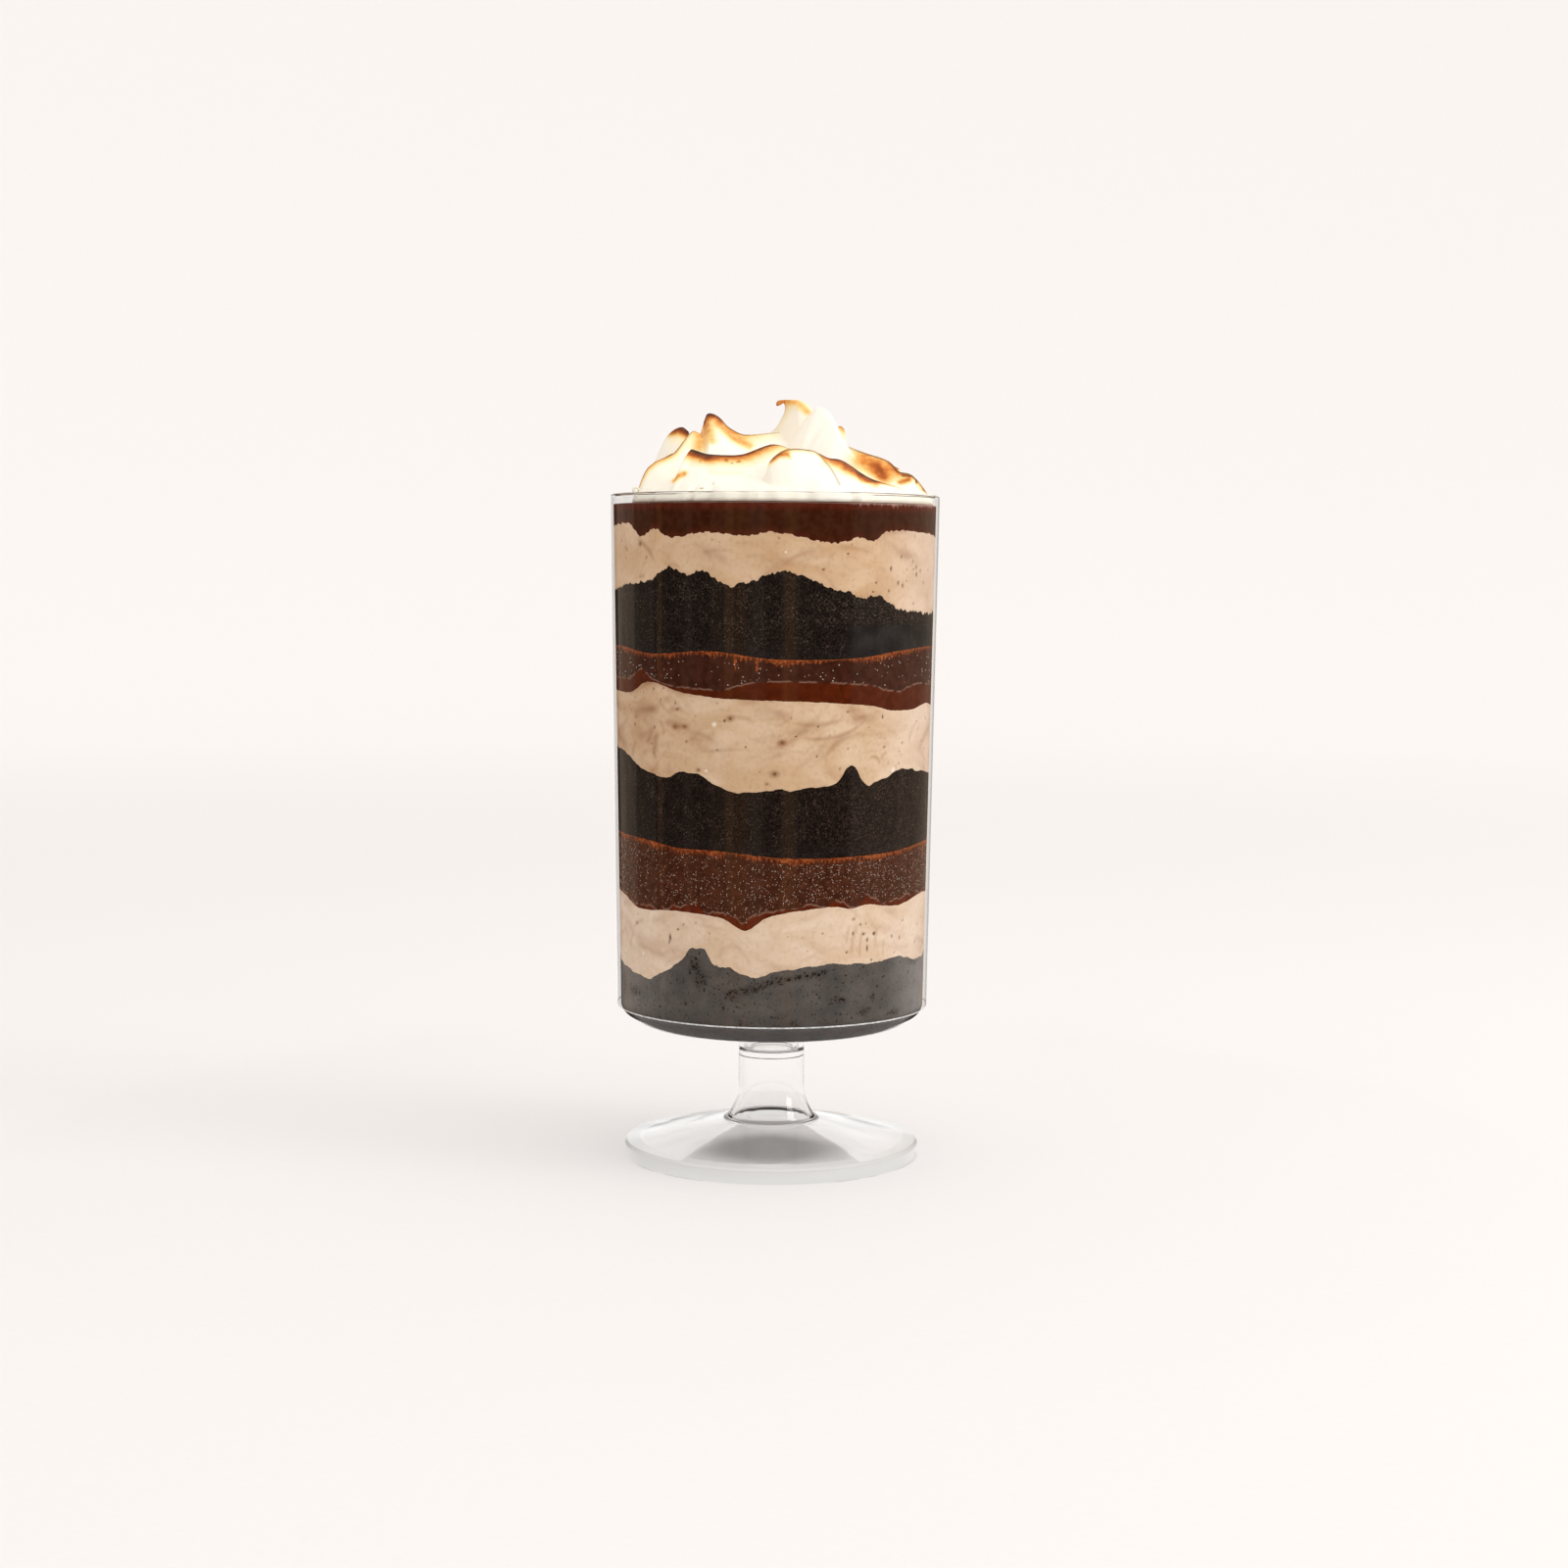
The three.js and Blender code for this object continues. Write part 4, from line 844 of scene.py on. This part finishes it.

# What the flame left off the crests, and one crease's painted shade, as (line, depths, width, toast, burnt):
# a line through points (x, height above the rim) on what lies between two depths y, half as wide as width,
# brown by toast and dark by burnt.
scorchesAndShade = [
    ([(-31, 15.2), (-27.5, 14.6), (-24, 13)], (-44, -24), 4.4, 0.6, 0),
    ([(-28, 22.5), (-28.4, 18)], (-20, 4), 6, 0.4, 0),
    ([(-36.8, 4.4), (-34.8, 5.8), (-33, 6.7)], (-56, -20), 2.4, 0.5, 0),
    ([(-26, 27), (-24.6, 24), (-23.5, 20)], (-14, 2), 4, 0.3, 0),
    ([(-21.4, 26.6), (-18.6, 23.6), (-15.8, 21.3), (-9.8, 18.6)], (-20, 2), 3.4, 0.34, 0),
    ([(-23.3, 7.3), (-18.9, 6.7), (-12.2, 6.9)], (-60, -38), 2.4, 0.08, 0),
    ([(-1.3, 18.9), (0.9, 20.1), (3.2, 20.4)], (-27, -5), 1.2, 0.3, 0),
    ([(-0.6, 12.4), (1.6, 13.6), (4.4, 13.6)], (-58, -40), 2.6, 0.4, 0),
    ([(4.6, 13.6), (5.9, 12)], (-58, -40), 1, 0.25, 0),
    ([(26.1, 9.4), (30.6, 7), (36.9, 4.4)], (-50, -28), 4, 0.5, 0),
    ([(33, 13), (38, 10.5), (41, 8)], (-30, -1), 8.5, 0.5, 0),
    ([(38.5, 10.5), (40.5, 7)], (-30, -1), 4.6, 0.45, 0),
    ([(-25, 30.4), (-22.6, 30.6), (-20.2, 28.6)], (-6, 6), 3.2, 0.3, 0.35),
    ([(0.5, 35.8), (4, 36.4), (8, 35.6), (12, 32)], (4, 20), 3.4, 0.36, 0),
    ([(-41, 24.4), (-37, 25.6), (-34.4, 24)], (8, 20), 3, 0.5, 0.4),
    ([(47, 4.8), (50.3, 6)], (-20, -4), 2.2, 0.5, 0.1),
    ([(48, 7.6), (51.7, 7.4), (53.4, 5.9), (53.2, 4.9)], (-20, -2), 0.8, 0.4, 0.8),
    ([(56.2, 2.4), (59.2, 1.3)], (-20, 0), 1.4, 0.5, 0.3),
    ([(12.5, 28.6), (12.4, 26.3)], (4, 14), 0.7, 0.3, 0.7),
    # painted shade: a dark line down the front where a crease runs from the crest, lightly browned
    ([(14.8, 14.9), (17, 12.8), (19.7, 9.7), (21.9, 6.2), (23.5, 2.7)], (-60, -36), 0.7, 0.12, 0.55),
    ([(-27.3, 11.6), (-27.2, 10.9)], (-60, -30), 0.5, 0.15, 0.4),
    ([(-17.9, 12), (-17.5, 11.5)], (-60, -30), 0.8, 0.3, 0.3),
    ([(-15.8, 10.7), (-15.4, 10.6)], (-60, -30), 0.5, 0.2, 0.6),
    ([(-13.8, 11.1), (-12.8, 11.3)], (-60, -30), 0.6, 0.3, 0.5),
    ([(-22.1, 3.3), (-22.1, 2.6)], (-60, -30), 0.5, 0.2, 0.6),
    ([(-26.6, 1.1), (-26.2, 1.1)], (-60, -30), 0.6, 0.2, 0.8)]

thread = dict(
    path=[(-49.6, -29.5, 0.9), (-51, -29.5, 1.8), (-52.1, -29.2, 1), (-51.6, -28.6, -0.5), (-50.4, -29, -1.9),
          (-49, -30.5, -3.4)],  # (x, y, height above the rim)
    radius=0.5, sides=10)


def crestPath(points, steps=8):
    # a smooth line through the points, with steps places on each stretch
    p = np.array(points, float)
    p = np.vstack([2 * p[0] - p[1], p, 2 * p[-1] - p[-2]])
    t = np.linspace(0, 1, steps, endpoint=False)[None, :, None]
    line = cubic(*(p[i:len(p) - 3 + i][:, None] for i in range(4)), t)
    return np.vstack([line.reshape(-1, 3), p[-2:-1]])


def fallBeside(side, distance):
    # drop times (distance over reach) to the power bend, and faster past reach
    drop, reach, bend = side
    share = (np.hypot(distance, meringue["crestRound"]) - meringue["crestRound"]) / reach
    return drop * (share ** bend + np.maximum(share - 1, 0) ** 2)


def strokeField(stroke, x, y):
    # height of the nearest place on the crest less the fall on this side, the browning there, how dark the
    # crest's line is and how far the surface has fallen from it
    path = crestPath(stroke["crest"])
    count = len(path) - 1
    nearest = np.full(x.shape, np.inf)
    found = np.zeros((4, *x.shape))  # the height, place along the crest, share of the left side, and fall
    for i, (start, step) in enumerate(zip(path, np.diff(path, axis=0))):
        length = math.hypot(step[0], step[1])
        forward = ((x - start[0]) * step[0] + (y - start[1]) * step[1]) / length
        aside = ((y - start[1]) * step[0] - (x - start[0]) * step[1]) / length
        share = np.clip(forward / length, 0, 1)
        beyond = forward - share * length
        distance = np.hypot(beyond, aside)
        before = stroke["caps"][0] if i == 0 else 1
        after = stroke["caps"][1] if i == count - 1 else 1
        away = np.hypot(beyond * np.where(beyond < 0, before, after), aside)
        toLeft = smooth(aside / (distance + 1e-6), -0.5, 0.5)
        fallen = fallBeside(stroke["left"], away) * toLeft + fallBeside(stroke["right"], away) * (1 - toLeft)
        here = [start[2] + step[2] * share - fallen, (i + share) / count, toLeft, fallen]
        found = np.where(distance < nearest, here, found)
        nearest = np.minimum(nearest, distance)
    height, along, leftShare, fallen = found
    toast, burnt = (np.interp(along, np.linspace(0, 1, len(amounts)), amounts)
                    for amounts in (stroke["toast"], stroke["burnt"]))
    left, right = stroke["spread"]
    brown = toast * np.exp(-(fallen / (right + (left - right) * leftShare)) ** 1.4)
    return height, brown * (1 - smooth(nearest, 6, 16)), burnt * (1 - smooth(nearest, 1.6, 3.2)), fallen


def meringueField(x, y):
    # the highest of a low dome and all strokes, joined by soft creases, with the browning of the stroke that
    # shows there, its dark line and the fall from its crest
    height = meringue["dome"] * (1 - (x ** 2 + y ** 2) / meringue["edge"] ** 2)
    looks = np.zeros((3, *x.shape))
    looks[2] = 9.0
    for stroke in strokes:
        level, *look = strokeField(stroke, x, y)
        shows = smooth(level - height, -0.8, 0.4)
        looks = looks * (1 - shows) + np.array(look) * shows
        near = np.maximum(meringue["crease"] - np.abs(height - level), 0)
        height = np.maximum(height, level) + near ** 2 / (4 * meringue["crease"])
    return height, *looks


def scorched(points, toast):
    # browning by the flame's marks and one painted shade on top of that of the crests, and the dark of their
    # middles: each falls off as a bell over the distance from its line as seen from the front
    x, y, z = (points[..., i] for i in range(3))
    dark = np.zeros(x.shape)
    for line, (low, high), width, brown, burnt in scorchesAndShade:
        distance = np.full(x.shape, np.inf)
        for start, step in zip(np.array(line), np.diff(line, axis=0)):
            right, up = x - start[0], z - start[1]
            share = np.clip((right * step[0] + up * step[1]) / (step @ step), 0, 1)
            distance = np.minimum(distance, np.hypot(right - share * step[0], up - share * step[1]))
        bell = np.exp(-(2 * distance / width) ** 2) * hump(y, low - 2, low, high, high + 3)
        toast = 1 - (1 - toast) * (1 - brown * bell)
        dark = np.maximum(dark, burnt * bell)
    return toast, dark


def curled(points):
    # each peak is bent on a circle that starts upright at the foot of its curl
    x, y, z = (points[..., i] for i in range(3))
    out = points.copy()
    for (atX, atY), width, level, top, towards, turn in curls:
        near = 1 - smooth(np.hypot(x - atX, y - atY), 0.6 * width, width)
        above = np.clip((z - level) / (top - level), 0, 1.05)
        angle = math.radians(turn) * near + 1e-6
        radius = (top - level) / angle
        lean = radius * (1 - np.cos(angle * above)) / math.hypot(*towards)
        height = level + radius * np.sin(angle * above)
        moved = np.stack([x + lean * towards[0], y + lean * towards[1], height], -1)
        out = np.where(((near > 0) & (above > 0))[..., None], moved, out)
    return out


def meringueEdge(azimuth):
    # the edge's radius, less a soft bay at some places and folds everywhere
    radius = meringue["edge"]
    for place, half, depth in meringue["bays"]:
        away = np.abs((np.degrees(azimuth) - place + 540) % 360 - 180)
        radius = radius - depth * (1 - smooth(away, 0, half))
    every = layers["steps"] // len(azimuth)
    return radius - meringue["folds"] * np.clip(1 + closedNoise(45, 8, 91)[::every], 0, 3)


def meringueMaterial():
    # Italian meringue browned with a torch: satin white foam, cream where the flame came near,
    # caramel to dark brown along the crests and nearly black at their thin edges
    material = newMaterial("torched meringue")
    grain, fine = lumps(material, 2.2), lumps(material, 0.7, detail=2)
    toast, burnt, under, dark = (add(material, "Attribute", {}, attribute_name=name)
                                 for name in ("toast", "burnt", "under", "dark"))
    centred = add(material, "Math", (grain, 0.5), operation="SUBTRACT")
    wander = add(material, "Math", (centred, 0.35), operation="MULTIPLY")
    toasted = add(material, "MapRange", (toast, 0.05, 0.5, 0, 1))
    amount = add(material, "Math", (wander, toasted, toast), operation="MULTIPLY_ADD")
    foam = painted(material, "#FAF0DC", (lumps(material, 30, detail=1), "#FAF5EC"))
    brown = add(material, "ValToRGB", (amount,), stops=(
        (0.0, "#FBF3E4"), (0.14, "#FAEBC4"), (0.32, "#F3C97F"), (0.5, "#D98C40"), (0.68, "#A9551D"),
        (0.85, "#6C3412"), (1.0, "#341A0C")))
    nearCrest = add(material, "MapRange", (under, 0.25, 0.85, 1, 0))
    broken = add(material, "MapRange", (fine, 0.25, 0.5, 0.45, 0.85))
    line = add(material, "Math", (burnt, nearCrest), operation="MULTIPLY")
    line = add(material, "Math", (line, broken), operation="MULTIPLY")
    black = add(material, "Math", (line, dark), operation="MAXIMUM")
    browned = add(material, "MapRange", (amount, 0, 0.1, 0, 1))
    colour = painted(material, foam, (browned, brown), (black, "#2B130A"))
    return food(material, colour, 0.6, grain, 0.25, 0.35, {
        "IOR": 1.4, "Specular IOR Level": 0.3, "Subsurface Weight": 0.15,
        "Subsurface Radius": (1.0, 0.7, 0.4), "Subsurface Scale": 1.5 * mm})


def makeThread():
    # a closed tube along a smooth path that thins to both ends: at each place a circle across the path
    path = crestPath(thread["path"])
    along = np.gradient(path, axis=0)
    along /= np.linalg.norm(along, axis=1, keepdims=True)
    across = np.cross(along, (0, 1, 0))
    across /= np.linalg.norm(across, axis=1, keepdims=True)
    other = np.cross(across, along)
    radius = thread["radius"] * np.sqrt(1.02 - (2 * np.linspace(0, 1, len(path)) - 1) ** 4)
    angle = azimuths(thread["sides"])[None, :, None]
    circle = across[:, None] * np.cos(angle) + other[:, None] * np.sin(angle)
    surface, faces = closedRings(path[:, None] + circle * radius[:, None, None] + (0, 0, meringue["rimZ"]))
    values = {"toast": np.full(len(surface), 0.05), "under": np.full(len(surface), 9.0)}
    addPiece("meringue_thread", "meringue", surface, faces, [meringueMaterial()], values, standsFor=False)


def makeMeringue():
    # a field of heights over rings that close in on the axis, rolled under at its edge
    m = meringue
    azimuth = azimuths(m["steps"])
    share = 1 - (np.arange(m["rings"]) / m["rings"]) ** 1.05
    edge = meringueEdge(azimuth)
    radius = edge * share[:, None]
    x, y = radius * np.sin(azimuth), -radius * np.cos(azimuth)
    height, toast, burnt, under = meringueField(x, y)
    roll = np.clip((edge - radius) / m["roll"], 0, 1)
    pudding = m["baseZ"] - m["rimZ"]
    z = pudding + (np.maximum(height, 0.5) - pudding) * np.sqrt(1 - (1 - roll) ** 2)
    points = curled(np.stack([x, y, z], -1))
    toast, dark = scorched(points, toast)
    points[..., 2] = np.minimum(points[..., 2] + m["rimZ"], cadBox[1][2] / mm - 0.05)
    surface, faces = closedRings(points)
    surface[-2] = (0, 0, m["baseZ"])
    values = {key: np.append(field, [field[0].mean(), field[-1].mean()])
              for key, field in (("toast", toast), ("burnt", burnt), ("under", under), ("dark", dark))}
    addPiece("torched_meringue", "meringue", surface, faces, [meringueMaterial()], values)
    print("meringue made")


room = dict(
    floor="#BAB7B5", glow="#FBF7F4", glowStrength=0.42,  # half of the board's white is its own glow, which is dimmed as painted shade under the foot, from one radius to another, and stronger where the board rises into the wall
    footShadeRadii=(14, 36), footShadeShare=0.1,  # which is weaker in the shade of a foot, from one radius to another,
    wall=(800, 3000), wallGlow=0.54,  # and stronger where the board rises into the wall
    rings=(100, 1000), floorRadius=2400, sweepRadius=1500, wallHeight=2200, horizon=0.45, zenith=0.85)
lamps = [  # (name, place, aim, size, watts), in metres
    ("top", (0.7, -0.4, 2.0), (0, 0, 0.1), (1.6, 1.6), 12),
    ("key", (1.9, -0.7, 1.1), (0, 0, 0.2), (0.8, 1.4), 15),
    ("fill", (-1.7, -1.0, 0.9), (0, 0, 0.2), (0.8, 1.4), 1)]
view = dict(place=(0.0036, -1.0196, 0.2266), pitch=4.7, roll=-0.38, sensor=36, lens=36 * 2727 / 1600)


def paintedFloor():
    # a matt white translucent board, lit from behind as much as from the front, as on a light table
    material = newMaterial("matt white board")
    away = add(material, "VectorMath", (add(material, "TexCoord", {}),), "Value", operation="LENGTH")
    # painted shade: the glow drops towards the axis, under the foot, where its shadow falls
    shade = add(material, "MapRange", (away, *(radius * mm for radius in room["footShadeRadii"]),
                                       room["footShadeShare"] * room["glowStrength"], room["glowStrength"]))
    rise = add(material, "MapRange", (away, *(radius * mm for radius in room["wall"]), 0,
                                      room["wallGlow"] - room["glowStrength"]))
    glow = add(material, "Math", (shade, rise), operation="ADD")
    colour = painted(material, "#B6B3B1", (lumps(material, 3, detail=2), room["floor"]))
    return finished(material, add(material, "BsdfPrincipled", {
        "Base Color": colour, "Roughness": 0.85, "Specular IOR Level": 0.2, "Emission Color": room["glow"],
        "Emission Strength": glow}))


def makeRoom():
    # a round floor that turns up into a wall on a quarter circle
    r = room
    bend = arcPoints(r["floorRadius"], r["sweepRadius"], r["sweepRadius"], -90, 0, 16)
    top = [[r["floorRadius"] + r["sweepRadius"], r["wallHeight"]]]
    profile = np.vstack([[[radius, 0] for radius in r["rings"]], bend, top])
    rings = np.stack([ringAt(azimuths(96), radius, z) for radius, z in profile])
    points = np.vstack([rings.reshape(-1, 3), [0, 0, 0]])
    faces = [bandFaces(*rings.shape[:2])[:, ::-1], fanFaces(0, len(points) - 1, rings.shape[1], up=True)]
    floor = addMesh("floor", points, faces, [paintedFloor()])
    makeWorld()


def makeWorld():
    # a soft white studio, brighter towards the ceiling than at eye level
    world = bpy.data.worlds.new("studio")
    world.use_nodes = True
    background = world.node_tree.nodes["Background"]
    height = add(world, "SeparateXYZ", (add(world, "TexCoord", {}, "Generated"),), "Z")
    strength = add(world, "MapRange", (height, 0, 0.8, room["horizon"], room["zenith"]))
    background.inputs["Color"].default_value = srgb("#FFFDFB")
    world.node_tree.links.new(strength, background.inputs["Strength"])
    bpy.context.scene.world = world


# What the wall mirrors to someone in front of it: (from, to) in azimuth on the cup, how bright, and how
# warm, from 0 for white to 1 for ochre. Past the sides, and behind, the ring is lit evenly.
card = dict(
    radius=300, height=340, steps=1440, dim=0.06, behind=1.15, sides=(-76, 80), soft=1.2,
    tones=((0, "#FFFFFF"), (0.5, "#FFE6CC"), (1, "#FFC48A")),
    bands=[(-70, -56, 0.32, 0.5), (-56, -47.5, 0.1, 0.5), (-47.5, -45, 0.12, 0.3), (-43.5, -41.3, 0.3, 1),
           (-32, -28.5, 0.12, 0.5), (-21.5, -17, 0.12, 0.8), (-16.5, -13.5, 0.42, 1), (-13.5, -8.5, 0.25, 1),
           (-8, -3, 0.2, 0.5), (3.2, 8, 0.42, 1), (27.5, 78, 0.26, 0.5)])


def cardAzimuths():
    # the azimuth on the cup at which each azimuth of the card is mirrored, and whether any is: the wall's
    # mirror direction, twice the azimuth less that of the viewer, is followed until it meets the card
    onCup = np.radians(np.linspace(-89, 89, 357))
    wall = layers["radius"] * np.stack([np.sin(onCup), -np.cos(onCup)], 1)
    toViewer = np.array(view["place"][:2]) / mm - wall
    heading = 2 * onCup - np.arctan2(toViewer[:, 0], -toViewer[:, 1])
    way = np.stack([np.sin(heading), -np.cos(heading)], 1)
    along = (wall * way).sum(1)
    reach = np.sqrt(along ** 2 + card["radius"] ** 2 - layers["radius"] ** 2) - along
    far = wall + way * reach[:, None]
    onCard = np.unwrap(np.arctan2(far[:, 0], -far[:, 1]))
    signed = np.radians(signedDegrees(azimuths(card["steps"])))
    return np.degrees(np.interp(signed, onCard, onCup)), (signed <= onCard[-1]) & (signed >= onCard[0])


def makeReflections():
    # a ring of grey card with paler stripes, seen only as a reflection
    cupAzimuth, mirrored = cardAzimuths()
    glow, warmth = np.full(card["steps"], card["dim"]), np.full(card["steps"], 0.5)
    for start, end, bright, warm in card["bands"]:
        soft = min(card["soft"], 0.25 * (end - start))
        within = hump(cupAzimuth, start - soft, start + soft, end - soft, end + soft)
        glow += bright * within
        warmth += (warm - 0.5) * within
    low, high = card["sides"]
    behind = np.maximum(smooth(-cupAzimuth, -low, -low + 8), smooth(cupAzimuth, high, high + 7))
    behind = np.where(mirrored, behind, 1.0)
    glow += (card["behind"] - glow) * behind
    warmth *= 1 - behind
    material = newMaterial("lit card")
    grain = add(material, "MapRange", (lumps(material, 60), 0.3, 0.7, 0.8, 1.15))
    shine, warm = (add(material, "Attribute", {}, attribute_name=name) for name in ("glow", "warmth"))
    strength = add(material, "Math", (shine, grain), operation="MULTIPLY")
    tone = add(material, "ValToRGB", (warm,), stops=card["tones"])
    finished(material, add(material, "Emission", {"Color": tone, "Strength": strength}))
    points = np.vstack([ringAt(azimuths(card["steps"]), card["radius"], z) for z in (1, card["height"])])
    ring = addMesh("reflection_card", points, [bandFaces(2, card["steps"])[:, ::-1]], [material],
                   {"glow": np.tile(glow, 2), "warmth": np.tile(warmth, 2)})
    ring.visible_camera = ring.visible_diffuse = ring.visible_transmission = False
    ring.visible_shadow = ring.visible_volume_scatter = False


def makeLamps():
    # area lamps turned towards their aims
    for name, place, aim, size, watts in lamps:
        data = bpy.data.lights.new(name, "AREA")
        data.shape = "RECTANGLE"
        data.size, data.size_y = size
        data.energy = watts
        light = bpy.data.objects.new(name, data)
        light.location = place
        light.visible_camera = light.visible_glossy = False
        x, y, z = np.subtract(aim, place)
        light.rotation_euler = (math.atan2(math.hypot(x, y), -z), 0, math.atan2(-x, y))
        bpy.context.scene.collection.objects.link(light)


def makeCamera():
    data = bpy.data.cameras.new("camera")
    data.lens, data.sensor_width = view["lens"], view["sensor"]
    camera = bpy.data.objects.new("camera", data)
    camera.location = view["place"]
    camera.rotation_euler = (math.radians(90 - view["pitch"]), math.radians(view["roll"]), 0)
    bpy.context.scene.collection.objects.link(camera)
    bpy.context.scene.camera = camera
    bpy.context.scene.view_settings.view_transform = "Standard"


makeCamera()
makeRoom()
makeLamps()
makeReflections()
makeCup()
makeLayers()
makeMeringue()
makeThread()
